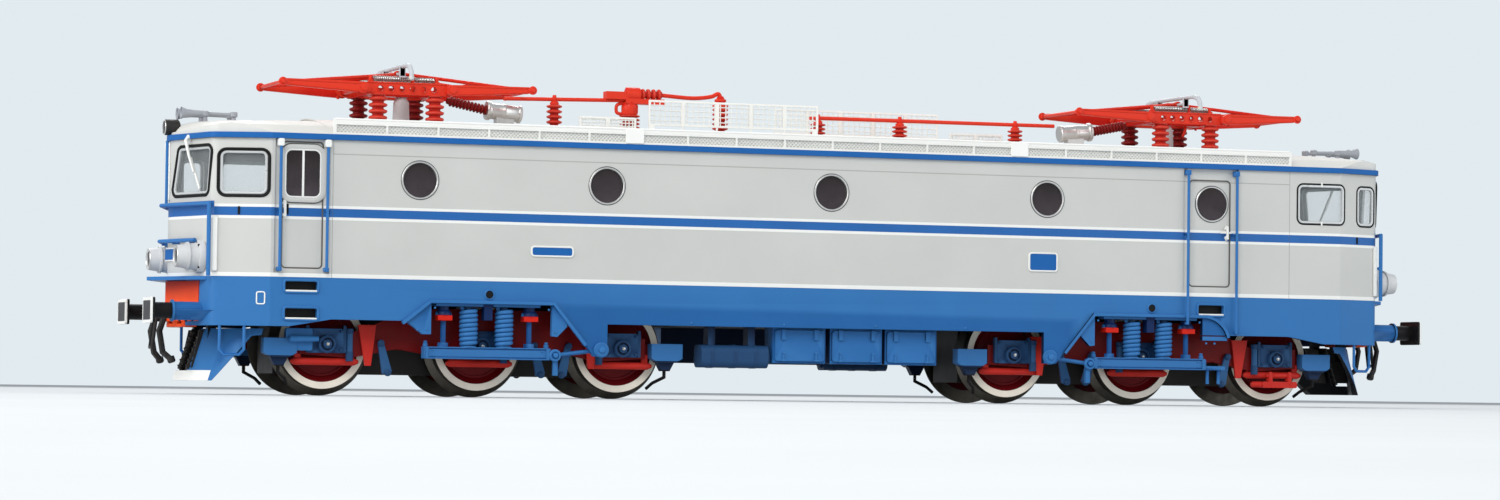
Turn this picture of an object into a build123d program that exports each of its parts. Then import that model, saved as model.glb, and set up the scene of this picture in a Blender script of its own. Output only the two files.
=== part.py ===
from build123d import *
from math import atan2, cos, degrees, hypot, radians, sin
import os

# Six-axle electric locomotive, an H0 scale model (1:87), in millimetres.
# X runs along the locomotive, Y across it, Z up. The origin is on the ground under its middle:
# the model stands on its wheel flanges, so the rail top lies one flange depth above the origin.
# The far side is the near side turned half round, so both are drawn on side_face with one set of values.

# Driving dimensions: wheels and running gear
tread_d = 14.4              # wheel diameter on the tread
flange_depth = 1.1          # flange beyond the tread
back_to_back = 14.4         # between the backs of a wheelset's two wheels
wheel_w = 2.9               # width of a wheel
flange_w = 0.9              # thickness of the flange
tyre_t = 1.1                # thickness of the tyre under the tread
pivot_x = 59.2              # bogie pivots, from the middle
axle_inner = 24.1           # inner axle, from the pivot towards the middle
axle_outer = 25.9           # outer axle, from the pivot towards the end
axle_d = 2.0
axle_play = 0.08            # radial play of an axle in its bearing
frame_gap = 0.7             # side frames stand this far outside the wheels
frame_t = 1.4

# Driving dimensions: body
rail_z = flange_depth       # heights below are given above the rail top and start from here
half_w = 17.24              # half width over the sides
corner_x = 104.3            # where side and front meet
corner_y = 14.0
nose_x = 108.6              # front, on the centre line
taper_x = 95.5              # from here on the sides taper towards the front
wall = 1.0                  # thickness of shell, skirt and roof
fit = 0.3                   # running and seating clearance between separate pieces
sole_z = rail_z + 11.1      # lower edge of the skirt, middle
sole_deep_z = rail_z + 9.9  # lower edge of the skirt, under the cabs
deck_z = rail_z + 17.75     # where skirt and shell meet
gutter_z = rail_z + 39.85   # lower edge of the gutter band
gutter_h = 0.9
gutter_out = 0.45           # the gutter stands this far proud
crest_z = rail_z + 44.0     # roof on the centre line
bulkhead_x = 84.0           # rear wall of each cab
belly_x = 25.2              # half length of the low part between the bogies
floor_t = 1.2               # chassis floor

# Driving dimensions: ends
buffer_face_x = 113.8
buffer_y = 10.06
buffer_z = rail_z + 12.2
buffer_head_w = 6.5
buffer_head_h = 4.1
buffer_head_t = 0.7
sleeve_r = 1.3
socket_x = 109.9            # front of the buffer socket
recess_half = 6.2           # half width of the red centre panel
lamp_y = 10.6
lamp_z = rail_z + 20.9
lamp_face_x = 109.4

# Driving dimensions: pantographs
panto_x = 70.6              # middle of each pantograph
panto_z = rail_z + 49.2     # lower arm pivots
panto_pivot = 7.45          # lower arm pivots, either side of the middle
arm_y = 7.4                 # lower arms, from the centre line
beam_y = 6.3                # side beams of the base
lower_arm = 13.66           # between its pivots
lower_rest = 2.0            # its slope when folded, in degrees
apex_half = 0.5             # upper arm ends, either side of the middle
apex_rise = 2.7             # apex above the lower pivots when folded
pin_r = 0.3
pin_play = 0.07             # radial play of a pin in its eye
pan_half = 11.4             # half length of the contact strip
pan_r = 0.35

os.makedirs("parts", exist_ok=True)
from_start = (Align.CENTER, Align.CENTER, Align.MIN)    # a turned form stands on its start


def save(name, node, color_name):
    """Label a finished piece and write it under its node's name."""
    name.part.label = node
    name.part.color = Color(color_name)
    export_step(name.part, f"parts/{node}.step")


def side_face(side, y):
    """One side's plane, y from the centre line: seen from outside, X to the right and Z up."""
    return Plane(origin=(0, side * y, 0), x_dir=(-side, 0, 0), z_dir=(0, side, 0))


def end_face(end, x):
    """One end's plane, x from the middle: Y across and Z up."""
    return Plane(origin=(end * x, 0, 0), x_dir=(0, end, 0), z_dir=(end, 0, 0))


def plate(plane, corners, thickness):
    """A flat plate with the given outline, standing outwards on a plane."""
    with BuildPart(mode=Mode.PRIVATE) as piece:
        with BuildSketch(plane):
            with BuildLine():
                Polyline(*corners, close=True)
            make_face()
        extrude(amount=thickness)
    return piece.part


def block_between(low, high):
    """A plain block from its lowest to its highest corner."""
    size = [b - a for a, b in zip(low, high)]
    middle = [(a + b) / 2 for a, b in zip(low, high)]
    return Location(tuple(middle)) * Box(*size, mode=Mode.PRIVATE)


def rod(start, stop, radius):
    """A round rod between two points."""
    run = Vector(*stop) - Vector(*start)
    plane = Plane(origin=start, z_dir=run)
    return plane.location * Cylinder(radius, run.length, align=from_start, mode=Mode.PRIVATE)


def bent_rod(points, radius, sides=8):
    """A thin rod of flat-sided section along a bent line, mitred at its bends."""
    with BuildPart(mode=Mode.PRIVATE) as bar:
        with BuildLine() as path:
            Polyline(*points)
        with BuildSketch(Plane(origin=path.line @ 0, z_dir=path.line % 0)):
            RegularPolygon(radius, sides)
        sweep(path=path.line, transition=Transition.RIGHT)
    return bar.part


def ribbed(start, stop, radius, waist, ribs, sides=12):
    """A stack of conical sheds or spring turns between two points."""
    run = Vector(*stop) - Vector(*start)
    pitch = run.length / ribs
    slope = degrees(atan2(radius - waist, pitch))
    with BuildPart(mode=Mode.PRIVATE) as shed:
        with BuildSketch():
            RegularPolygon(radius, sides)
        extrude(amount=pitch, taper=slope)
    with BuildPart(mode=Mode.PRIVATE) as stack:
        with Locations(*[(0, 0, pitch * i) for i in range(ribs)]):
            add(shed.part)
    return Plane(origin=start, z_dir=run).location * stack.part


# Body in plan: a flat-sided box whose ends taper to a blunt V nose
plan_corners = [
    (taper_x, half_w),
    (corner_x, corner_y),
    (nose_x, 0),
    (corner_x, -corner_y),
    (taper_x, -half_w),
    (-taper_x, -half_w),
    (-corner_x, -corner_y),
    (-nose_x, 0),
    (-corner_x, corner_y),
    (-taper_x, half_w),
]
corner_fillet = 2.2
nose_fillet = 6.0


def body_plan(inset=0.0):
    """The body's outline in plan, moved inwards by inset."""
    with BuildSketch(mode=Mode.PRIVATE) as plan:
        with BuildLine():
            Polyline(*plan_corners, close=True)
        make_face()
        fillet([v for v in plan.vertices() if abs(abs(v.Y) - corner_y) < 0.01], corner_fillet)
        fillet([v for v in plan.vertices() if abs(v.Y) < 0.01], nose_fillet)
        if inset:
            offset(amount=-inset, kind=Kind.INTERSECTION)
    return plan.sketch


def front_x(y, proud=0.0):
    """X of the front at y from the centre line, moved out by proud."""
    return nose_x - (nose_x - corner_x) * abs(y) / corner_y + proud


with BuildPart(mode=Mode.PRIVATE) as body_form:
    with BuildSketch(Plane.XY.offset(sole_deep_z)):
        add(body_plan())
    extrude(amount=gutter_z - sole_deep_z)

# Skirt: its lower edge is deeper under the cabs and notched over each bogie's bolster.
# Outlines over a bogie run outwards from its pivot: (outwards, z)
notch_top = rail_z + 14.0
notch_outer = 9.7
notch_inner = 10.7
gusset_top = sole_z + 0.5
gusset_low = rail_z + 9.0
outer_gusset = [(13.9, gusset_top), (13.9, sole_z), (11.1, gusset_low), (notch_outer, gusset_low),
                (notch_outer, gusset_top)]
inner_gusset = [(-notch_inner, gusset_top), (-notch_inner, gusset_low), (-11.6, gusset_low - 0.1),
                (-13.3, rail_z + 10.6), (-13.3, gusset_top)]
link_bracket = [(-13.3, gusset_top), (-16.7, rail_z + 7.4), (-17.9, rail_z + 5.8), (-20.2, rail_z + 5.8),
                (-20.2, gusset_top)]
link_pin = (-19.1, rail_z + 6.9)
rim_w = 0.5
rim_start = (14.5, sole_z - 0.4)
rim_corner = (notch_outer + 0.2, notch_top + 0.3)
rim_arch = (13.2, rail_z + 12.9)
rim_inner = [rim_corner, (-notch_inner - 0.2, notch_top + 0.3), (-16.4, rail_z + 7.6)]
# the bogie under the side door has an arched rim with a ledge in place of the sloping gusset
arch_ledge_out = 14.4
arch_ledge = [(notch_outer, rail_z + 10.9), (notch_outer, rail_z + 10.2), (arch_ledge_out, rail_z + 10.2),
              (arch_ledge_out, rail_z + 10.9)]
# Step openings near the doors: (x middle, z middle, width, height)
step_slots = [
    (-90.45, rail_z + 16.3, 5.3, 1.6),
    (-90.45, rail_z + 11.95, 5.3, 1.7),
    (70.45, rail_z + 15.45, 4.9, 1.7),
]
ledge_t = 0.6

with BuildPart() as skirt:
    with BuildSketch(Plane.XY.offset(sole_deep_z)):
        add(body_plan())
        add(body_plan(wall), mode=Mode.SUBTRACT)
    extrude(amount=deck_z - sole_deep_z)
    with BuildSketch(Plane.XZ):
        with BuildLine():
            Polyline(
                (-92.3, sole_deep_z - 1), (-92.3, sole_deep_z), (-85.4, sole_z),
                (-pivot_x - notch_outer, sole_z), (-pivot_x - notch_outer, notch_top),
                (-pivot_x + notch_inner, notch_top), (-pivot_x + notch_inner, sole_z),
                (pivot_x - notch_inner, sole_z), (pivot_x - notch_inner, notch_top),
                (pivot_x + notch_outer, notch_top), (pivot_x + notch_outer, sole_z),
                (85.4, sole_z), (92.3, sole_deep_z), (92.3, sole_deep_z - 1), close=True)
        make_face()
    extrude(amount=half_w + 1, both=True, mode=Mode.SUBTRACT)
    for side in (-1, 1):
        inner_face = side_face(side, half_w - wall)
        for end in (-1, 1):
            outer_plate = outer_gusset if end < 0 else arch_ledge
            for outline in (outer_plate, inner_gusset, link_bracket):
                add(plate(inner_face, [(end * (pivot_x + out), z) for out, z in outline], wall))
            rim_line = [(end * (pivot_x + out), z) for out, z in [rim_start, rim_arch] + rim_inner]
            with BuildSketch(side_face(side, half_w - 0.1)):
                with BuildLine():
                    if end < 0:
                        Polyline(rim_line[0], *rim_line[2:])
                    else:
                        ThreePointArc(*rim_line[:3])
                        Polyline(*rim_line[2:])
                trace(line_width=rim_w)
            extrude(amount=rim_w + 0.1)
            out, z = link_pin
            add(rod((-side * end * (pivot_x + out), side * (half_w - 0.2), z),
                    (-side * end * (pivot_x + out), side * (half_w + 0.6), z), 1.1))
        with BuildSketch(side_face(side, half_w - 2 * wall)):
            for x, z, width, height in step_slots:
                with Locations((x, z)):
                    RectangleRounded(width, height, 0.3)
        extrude(amount=3 * wall, mode=Mode.SUBTRACT)
    # the centre of each end is open for the red panel
    add(block_between((-nose_x - 1, -recess_half, sole_deep_z - 1),
                      (nose_x + 1, recess_half, deck_z - ledge_t)), mode=Mode.SUBTRACT)
save(skirt, "skirt", "steelblue")

# Windows, near side: (x middle, z middle, width, height, corner radius), round ones (x)
round_windows = [-71.1, -39.4, 0.0, 39.4, 70.7]
round_z = rail_z + 33.8
round_r = 2.85
end_window = (-99.7, rail_z + 34.3, 7.4, 7.2, 1.1)
mid_window = (91.7, rail_z + 34.3, 9.4, 7.0, 1.1)
corner_window = (101.5, rail_z + 34.2, 4.2, 7.0, 1.1)
door_window = (-90.35, rail_z + 34.35, 6.1, 7.9, 0.6)
# Doors: (x middle, z middle, width, height)
end_door = (-90.35, rail_z + 29.3, 6.7, 20.2)
mid_door = (70.3, rail_z + 28.7, 7.8, 18.4)
# Shallow recesses that hold each door and its handrails: (x middle, width), from the foot line up
door_recesses = [(-90.45, 9.0), (70.35, 10.4)]
recess_d = 0.45
recess_low = deck_z + 0.65
# Windscreen corners: (y, z), each pane leaning outwards at the top
windscreen = [(1.5, rail_z + 30.8), (12.6, rail_z + 30.8), (13.5, rail_z + 38.6), (3.4, rail_z + 38.6)]
screen_radius = 1.0
front_run = hypot(nose_x - corner_x, corner_y)


def window_cuts(shrink=0.0):
    """Prisms through every window, made smaller all round by shrink."""
    with BuildPart(mode=Mode.PRIVATE) as cuts:
        for side in (-1, 1):
            with BuildSketch(side_face(side, half_w)):
                for x in round_windows:
                    with Locations((x, round_z)):
                        Circle(round_r - shrink)
                for x, z, width, height, radius in (end_window, mid_window, corner_window, door_window):
                    with Locations((x, z)):
                        RectangleRounded(width - 2 * shrink, height - 2 * shrink, radius)
            extrude(amount=4.5, both=True)
        for end in (-1, 1):
            for side in (-1, 1):
                normal = Vector(end * corner_y, side * (nose_x - corner_x), 0)
                across = Vector(0, 0, 1).cross(normal)
                corners = [(end * side * y * front_run / corner_y, z) for y, z in windscreen]
                with BuildSketch(Plane(origin=(end * nose_x, 0, 0), x_dir=across, z_dir=normal)) as pane:
                    with BuildLine():
                        Polyline(*corners, close=True)
                    make_face()
                    fillet(pane.vertices(), screen_radius)
                    if shrink:
                        offset(amount=-shrink)
                extrude(amount=2 * wall, both=True)
    return cuts.part


window_holes = window_cuts()
with BuildPart() as shell:
    with BuildSketch(Plane.XY.offset(deck_z)):
        add(body_plan())
        add(body_plan(wall), mode=Mode.SUBTRACT)
    extrude(amount=gutter_z - deck_z)
    add(window_holes, mode=Mode.SUBTRACT)
    for side in (-1, 1):
        with BuildSketch(side_face(side, half_w)):
            for x, z, width, height in (end_door, mid_door):
                with Locations((x, z)):
                    RectangleRounded(width, height, 0.7)
        extrude(amount=4.5, both=True, mode=Mode.SUBTRACT)
        with BuildSketch(side_face(side, half_w - recess_d)):
            for x, width in door_recesses:
                with Locations((x, (recess_low + gutter_z) / 2)):
                    Rectangle(width, gutter_z - recess_low)
        extrude(amount=2 * recess_d, mode=Mode.SUBTRACT)
save(shell, "body_shell", "lightgray")

# Roof: a low crown over the whole body, with a step down to each cab and an arc from there to the visor
eaves_in = 1.6              # the crown's edge stands in from the side
eaves_drop = 1.9            # and lies this far below the crest
visor_h = 1.2               # roof edge above the gutter's lower edge at the nose
step_x = 86.5
step_h = 0.9
cab_arc = [(nose_x, gutter_z + visor_h), (101.0, rail_z + 42.4), (step_x, crest_z - step_h)]


def crown(inset):
    """The roof's outer form, or with an inset the hollow under it."""
    side_y = half_w - inset
    edge_y = side_y - eaves_in
    edge_z = crest_z - eaves_drop - inset
    brow_z = gutter_z + gutter_h
    lowered = [(x, z - inset) for x, z in cab_arc[:2]] + [(step_x - inset, crest_z - step_h - inset)]
    mirrored = [(-x, z) for x, z in reversed(lowered)]
    top_z = crest_z - inset
    with BuildPart(mode=Mode.PRIVATE) as form:
        with BuildSketch(Plane.XY.offset(gutter_z)):
            add(body_plan(inset))
        extrude(amount=crest_z - gutter_z)
        with BuildSketch(Plane.YZ):
            with BuildLine():
                Polyline((-side_y, gutter_z), (-side_y, brow_z), (-edge_y, edge_z))
                ThreePointArc((-edge_y, edge_z), (0, crest_z - inset), (edge_y, edge_z))
                Polyline((edge_y, edge_z), (side_y, brow_z), (side_y, gutter_z), (-side_y, gutter_z))
            make_face()
        extrude(amount=nose_x, both=True, mode=Mode.INTERSECT)
        with BuildSketch(Plane.XZ):
            with BuildLine():
                Polyline((-nose_x, lowered[0][1]), (-nose_x, gutter_z), (nose_x, gutter_z), lowered[0])
                ThreePointArc(*lowered)
                Polyline(lowered[2], (lowered[2][0], top_z), (mirrored[0][0], top_z), mirrored[0])
                ThreePointArc(*mirrored)
            make_face()
        extrude(amount=half_w, both=True, mode=Mode.INTERSECT)
    return form.part


with BuildPart() as roof:
    with BuildSketch(Plane.XY.offset(gutter_z)):
        add(body_plan(-gutter_out))
    extrude(amount=gutter_h)
    add(crown(0.0))
    add(crown(wall), mode=Mode.SUBTRACT)
save(roof, "roof", "whitesmoke")

# Doors, set back a little in their recesses
door_t = wall - recess_d - 0.1
door_gap = 0.05
with BuildPart() as doors:
    for side in (-1, 1):
        with BuildSketch(side_face(side, half_w - wall)):
            for x, z, width, height in (end_door, mid_door):
                with Locations((x, z)):
                    RectangleRounded(width - 2 * door_gap, height - 2 * door_gap, 0.65)
        extrude(amount=door_t)
    add(window_holes, mode=Mode.SUBTRACT)
save(doors, "cab_doors", "lightgray")

# Heavy diecast block between the cabs, with the floor it sends under each cab
block_half_w = half_w - wall - fit
floor_z = deck_z - 0.2
floor_low = floor_z - floor_t
with BuildPart() as block:
    add(block_between((-bulkhead_x + fit, -block_half_w, floor_z),
                      (bulkhead_x - fit, block_half_w, gutter_z - fit)))
    with BuildSketch(Plane.XY.offset(floor_low)):
        add(body_plan(wall + fit))
    extrude(amount=floor_t)
    add(block_between((-belly_x, -block_half_w, sole_z), (belly_x, block_half_w, floor_z)))
save(block, "chassis_block", "dimgray")

# Window panes, set in their openings
pane_t = 0.5
pane_set = 0.35
with BuildPart() as panes:
    with BuildSketch(Plane.XY.offset(deck_z)):
        add(body_plan(pane_set))
        add(body_plan(pane_set + pane_t), mode=Mode.SUBTRACT)
    extrude(amount=gutter_z - deck_z)
    add(window_cuts(0.05), mode=Mode.INTERSECT)
save(panes, "window_panes", "gray")

# Red panel behind each coupling: a recessed plate over a slotted strip flush with the skirt
panel_in = 0.8
panel_half = recess_half - 0.15
strip_z = sole_deep_z + 1.4
with BuildPart() as panels:
    with BuildSketch(Plane.XY.offset(sole_deep_z - 0.2)):
        add(body_plan(panel_in))
        add(body_plan(panel_in + wall), mode=Mode.SUBTRACT)
    extrude(amount=floor_low - sole_deep_z + 0.2)
    with BuildSketch(Plane.XY.offset(sole_deep_z - 0.2)):
        add(body_plan())
        add(body_plan(panel_in + 0.1), mode=Mode.SUBTRACT)
    extrude(amount=strip_z - sole_deep_z + 0.2)
    add(block_between((-nose_x - 1, -panel_half, sole_deep_z - 1), (nose_x + 1, panel_half, floor_low)),
        mode=Mode.INTERSECT)
    for y in (-4.2, -1.4, 1.4, 4.2):
        add(block_between((-nose_x - 1, y - 0.8, sole_deep_z + 0.3), (nose_x + 1, y + 0.8, strip_z - 0.4)),
            mode=Mode.SUBTRACT)
save(panels, "end_panels", "orangered")

# Ledge round each nose
ledge_tip = 3.2
with BuildPart() as ledges:
    for end in (-1, 1):
        with BuildSketch(Plane.XY.offset(deck_z - ledge_t)):
            with BuildLine():
                Polyline((end * corner_x, -corner_y + 1.2), (end * (corner_x + 2.4), -corner_y + 2.6),
                         (end * (nose_x + ledge_tip), 0), (end * (corner_x + 2.4), corner_y - 2.6),
                         (end * corner_x, corner_y - 1.2), close=True)
            make_face()
        extrude(amount=ledge_t)
    add(body_form.part, mode=Mode.SUBTRACT)
save(ledges, "nose_ledges", "steelblue")

# Buffers: a socket over an undercut wedge that dies into the corner, then sleeve and rectangular head
socket_r = 1.45
flange_r = 1.75
flange_t = 0.35
socket_root = 103.0
wedge_top = [(socket_x - flange_t, buffer_y - 1.4), (socket_x - flange_t, buffer_y + 1.4),
             (socket_root, corner_y + 0.5), (socket_root, buffer_y - 1.4)]
wedge_foot = [(socket_x - flange_t, buffer_y - 0.5), (socket_x - flange_t, buffer_y + 0.5),
              (socket_root, corner_y - 2.2), (socket_root, buffer_y - 0.5)]
with BuildPart() as sockets:
    for end in (-1, 1):
        for side in (-1, 1):
            for outline, z in ((wedge_top, buffer_z + 0.1), (wedge_foot, buffer_z - 1.5)):
                with BuildSketch(Plane.XY.offset(z)):
                    with BuildLine():
                        Polyline(*[(end * x, side * y) for x, y in outline], close=True)
                    make_face()
            loft()
            mouth = (end * socket_x, side * buffer_y, buffer_z)
            add(rod((end * socket_root, side * buffer_y, buffer_z), mouth, socket_r))
            add(rod((end * (socket_x - flange_t), side * buffer_y, buffer_z), mouth, flange_r))
    add(body_form.part, mode=Mode.SUBTRACT)
save(sockets, "buffer_sockets", "steelblue")

with BuildPart() as buffers:
    back = buffer_face_x - buffer_head_t
    for end in (-1, 1):
        for side in (-1, 1):
            y = side * buffer_y
            add(rod((end * socket_x, y, buffer_z), (end * back, y, buffer_z), sleeve_r))
            with BuildSketch(end_face(end, back)):
                with Locations((side * end * buffer_y, buffer_z)):
                    RectangleRounded(buffer_head_w, buffer_head_h, 0.4)
            extrude(amount=buffer_head_t)
save(buffers, "buffers", "black")

# Headlamps: conical drums with a recessed lens
lamp_base_r = 2.5
lamp_face_r = 1.75
lens_r = 1.3
with BuildPart() as lamps:
    for end in (-1, 1):
        for side in (-1, 1):
            depth = lamp_face_x - front_x(lamp_y) + wall
            face = Plane(origin=(end * (lamp_face_x - depth), side * lamp_y, lamp_z), z_dir=(end, 0, 0))
            drum = Cone(lamp_base_r, lamp_face_r, depth, align=from_start, mode=Mode.PRIVATE)
            add(face.location * drum)
            lens_x = [end * (lamp_face_x + reach) for reach in (-0.5, 0.5)]
            add(rod((lens_x[0], side * lamp_y, lamp_z), (lens_x[1], side * lamp_y, lamp_z), lens_r),
                mode=Mode.SUBTRACT)
    add(body_form.part, mode=Mode.SUBTRACT)
save(lamps, "headlamps", "whitesmoke")

top_lamp_z = gutter_z + 2.2
with BuildPart() as top_lamps:
    for end in (-1, 1):
        add(rod((end * (nose_x - 3.0), 0, top_lamp_z), (end * (nose_x + 0.7), 0, top_lamp_z), 1.3))
    add(crown(0.0), mode=Mode.SUBTRACT)
    add(roof.part, mode=Mode.SUBTRACT)
save(top_lamps, "top_lamps", "black")

# Twin horns on each cab roof, bells forward
horn_y = 1.6
horn_z = rail_z + 44.8
horn_pipe_r = 0.4
horn_bell_r = 0.8
with BuildPart() as horns:
    for end in (-1, 1):
        for side in (-1, 1):
            y = side * horn_y
            add(bent_rod([(end * 98.4, y, horn_z), (end * 103.6, y, horn_z)], horn_pipe_r))
            add(bent_rod([(end * 98.2, y, horn_z), (end * 98.9, y, horn_z)], 0.75))
            add(bent_rod([(end * 102.4, y, horn_z), (end * 103.5, y, horn_z)], 0.75))
            bell = Plane(origin=(end * 103.4, y, horn_z), z_dir=(end, 0, 0))
            add(bell.location * Cone(horn_pipe_r, horn_bell_r, 3.8, align=from_start, mode=Mode.PRIVATE))
        for xs in (sorted((end * 102.4, end * 103.5)), sorted((end * 98.2, end * 98.9))):
            add(block_between((xs[0], -horn_y - 0.5, rail_z + 41.5), (xs[1], horn_y + 0.5, horn_z - 0.3)))
    add(crown(0.0), mode=Mode.SUBTRACT)
save(horns, "horns", "silver")

# Handrails beside the doors, from the gutter down to the skirt: (x, low end)
rail_r = 0.25
rail_out = 0.7
stay_z = rail_z + 28.5      # middle stay of each rail
door_rails = [(-94.2, 18.9), (-86.5, 18.9), (65.7, 13.1), (75.0, 11.6)]
with BuildPart() as handrails:
    for side in (-1, 1):
        for x, low in door_rails:
            foot_z = rail_z + low
            top_z = gutter_z - 0.6
            wall_y = side * (half_w - recess_d)
            foot_y = wall_y if foot_z > recess_low else side * half_w
            y = side * (half_w + rail_out)
            add(bent_rod([(-side * x, foot_y, foot_z), (-side * x, y, foot_z), (-side * x, y, top_z),
                          (-side * x, wall_y, top_z)], rail_r))
            add(bent_rod([(-side * x, wall_y, stay_z), (-side * x, y, stay_z)], 0.2))
save(handrails, "door_handrails", "steelblue")

# End rails: waist rail with its corner handrails, step bar, centre rod and stirrup steps
waist_rail_z = rail_z + 29.3
step_bar_z = rail_z + 23.5
step_bar_out = 1.2
step_bar_half = 11.0
stirrup_rear = (99.2, 15.5)
stirrup_fore = (102.9, 14.2)
stirrup_low = rail_z + 5.3
with BuildPart() as rails:
    for end in (-1, 1):
        corner = (end * (corner_x + 0.65), corner_y + 0.45)
        add(bent_rod([(corner[0], -corner[1], deck_z), (corner[0], -corner[1], waist_rail_z),
                      (end * (nose_x + 1.0), 0, waist_rail_z), (corner[0], corner[1], waist_rail_z),
                      (corner[0], corner[1], deck_z)], 0.35))
        for y in (-9.5, -4.0, 4.0, 9.5):
            for z, proud in ((waist_rail_z, 0.9), (step_bar_z - 0.3, step_bar_out)):
                add(bent_rod([(end * front_x(y), y, z), (end * front_x(y, proud), y, z)], 0.25))
        step_tip = (end * front_x(step_bar_half, step_bar_out), step_bar_half, step_bar_z)
        step_nose = (end * front_x(0, step_bar_out), 0, step_bar_z)
        add(bent_rod([(step_tip[0], -step_bar_half, step_bar_z), step_nose, step_tip], 0.35))
        centre_x = end * front_x(0, 0.2)
        add(bent_rod([(centre_x, 0, waist_rail_z), (centre_x, 0, gutter_z)], 0.25))
        for side in (-1, 1):
            rear = (end * stirrup_rear[0], side * stirrup_rear[1])
            fore = (end * stirrup_fore[0], side * stirrup_fore[1])
            foot = [(a + (b - a) * share, c + (d - c) * share, stirrup_low)
                    for share in (0.2, 0.8) for a, b, c, d in [(rear[0], fore[0], rear[1], fore[1])]]
            knee_height = stirrup_low + 0.8
            add(bent_rod([(*rear, sole_deep_z), (*rear, knee_height), *foot, (*fore, knee_height),
                          (*fore, sole_deep_z)], 0.25))
    add(body_form.part, mode=Mode.SUBTRACT)
save(rails, "end_rails", "steelblue")

# Draw hooks with their links, and the two brake hoses beside them
hook_half = 0.6
hose_y = 3.4
with BuildPart() as hooks:
    for end in (-1, 1):
        root_x = nose_x - panel_in - 0.2
        outline = [(root_x, 10.6), (110.0, 10.6), (111.6, 11.6), (111.9, 13.4), (111.2, 13.5),
                   (110.8, 12.4), (110.0, 11.9), (root_x, 12.2)]
        with BuildSketch(Plane.XZ):
            with BuildLine():
                Polyline(*[(end * x, rail_z + z) for x, z in outline], close=True)
            make_face()
        extrude(amount=hook_half, both=True)
        add(bent_rod([(end * 110.3, -0.85, rail_z + 11.2), (end * 110.9, -0.85, rail_z + 6.4),
                      (end * 110.9, 0.85, rail_z + 6.4), (end * 110.3, 0.85, rail_z + 11.2)], 0.3))
        for side in (-1, 1):
            y = side * hose_y
            tap_x = end * (front_x(hose_y) - panel_in - 0.3)
            add(bent_rod([(tap_x, y, rail_z + 11.9), (end * 109.4, y, rail_z + 11.7),
                          (end * 110.3, y, rail_z + 9.0), (end * 109.7, y, rail_z + 5.6),
                          (end * 108.5, side * 4.4, rail_z + 4.4)], 0.5, 6))
    add(panels.part, mode=Mode.SUBTRACT)
save(hooks, "draw_hooks", "black")

# Snow ploughs: a blunt V blade that leans back, with a gap for the coupling and swept wings cut to an arc
plough_t = 0.9
plough_nose_x = 106.9
plough_fold = (103.1, 8.8)
plough_bulge = (101.2, 11.8)
plough_wing = (98.1, 13.8)
plough_low = rail_z + 1.1
plough_top = rail_z + 9.5
plough_lean = 0.3           # back for each unit of height
plough_gap_half = 3.0
plough_strip = 1.6          # height of the strip under the gap
# Lower edge of the wings: (x, z)
wing_edge = [(103.1, plough_low), (100.9, rail_z + 4.0), (97.5, rail_z + 8.3)]
wing_tail = (94.0, rail_z + 8.7)
post_y = 5.0
post_w = 1.4
plough_h = plough_top - plough_low
plough_sweep = (plough_nose_x - plough_fold[0]) / plough_fold[1]
post_x = plough_nose_x - plough_sweep * post_y - plough_lean * plough_h
with BuildPart() as ploughs:
    for end in (-1, 1):
        with BuildSketch(Plane.XY.offset(plough_low)):
            with BuildLine():
                for side in (-1, 1):
                    fold = (end * plough_fold[0], side * plough_fold[1])
                    ThreePointArc((end * plough_wing[0], side * plough_wing[1]),
                                  (end * plough_bulge[0], side * plough_bulge[1]), fold)
                    Line(fold, (end * plough_nose_x, 0))
            trace(line_width=plough_t)
        extrude(amount=plough_h * hypot(1, plough_lean), dir=(-end * plough_lean, 0, 1))
        with BuildSketch(Plane.XZ):
            with BuildLine():
                edge = [(end * x, z) for x, z in wing_edge]
                tail = (end * wing_tail[0], wing_tail[1])
                ThreePointArc(*edge)
                Polyline(edge[2], tail, (tail[0], rail_z - 1), (edge[0][0], rail_z - 1), edge[0])
            make_face()
        extrude(amount=half_w, both=True, mode=Mode.SUBTRACT)
        xs = sorted((end * 99, end * 108))
        add(block_between((xs[0], -plough_gap_half, plough_low + plough_strip),
                          (xs[1], plough_gap_half, plough_top + 1)), mode=Mode.SUBTRACT)
        for y in (-post_y, post_y):
            with BuildSketch(Plane.XY.offset(plough_top - 2.5)):
                with Locations((end * post_x, y)):
                    Rectangle(post_w, post_w)
            extrude(amount=floor_low - plough_top + 2.5)
save(ploughs, "snow_ploughs", "steelblue")

# Side bolsters under the notches: an I beam, two dampers and the spring seat, with a link to the skirt
bolster_y = half_w - 1.6
bolster_half_t = 0.95
bolster_low = rail_z + 5.1
bolster_top = rail_z + 7.0
seat_low = notch_top - 0.4
spring_r = 1.6
damper_out = 7.25
bracket_z = rail_z + 11.3
link_boss = (-11.4, rail_z + 5.9)


def bolster_block(way, side, low, high):
    """A block beside a pivot: its corners are (outwards from the pivot, y from the centre line, z)."""
    xs = sorted(way * (pivot_x + out) for out in (low[0], high[0]))
    ys = sorted(side * y for y in (low[1], high[1]))
    return block_between((xs[0], ys[0], low[2]), (xs[1], ys[1], high[2]))


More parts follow.
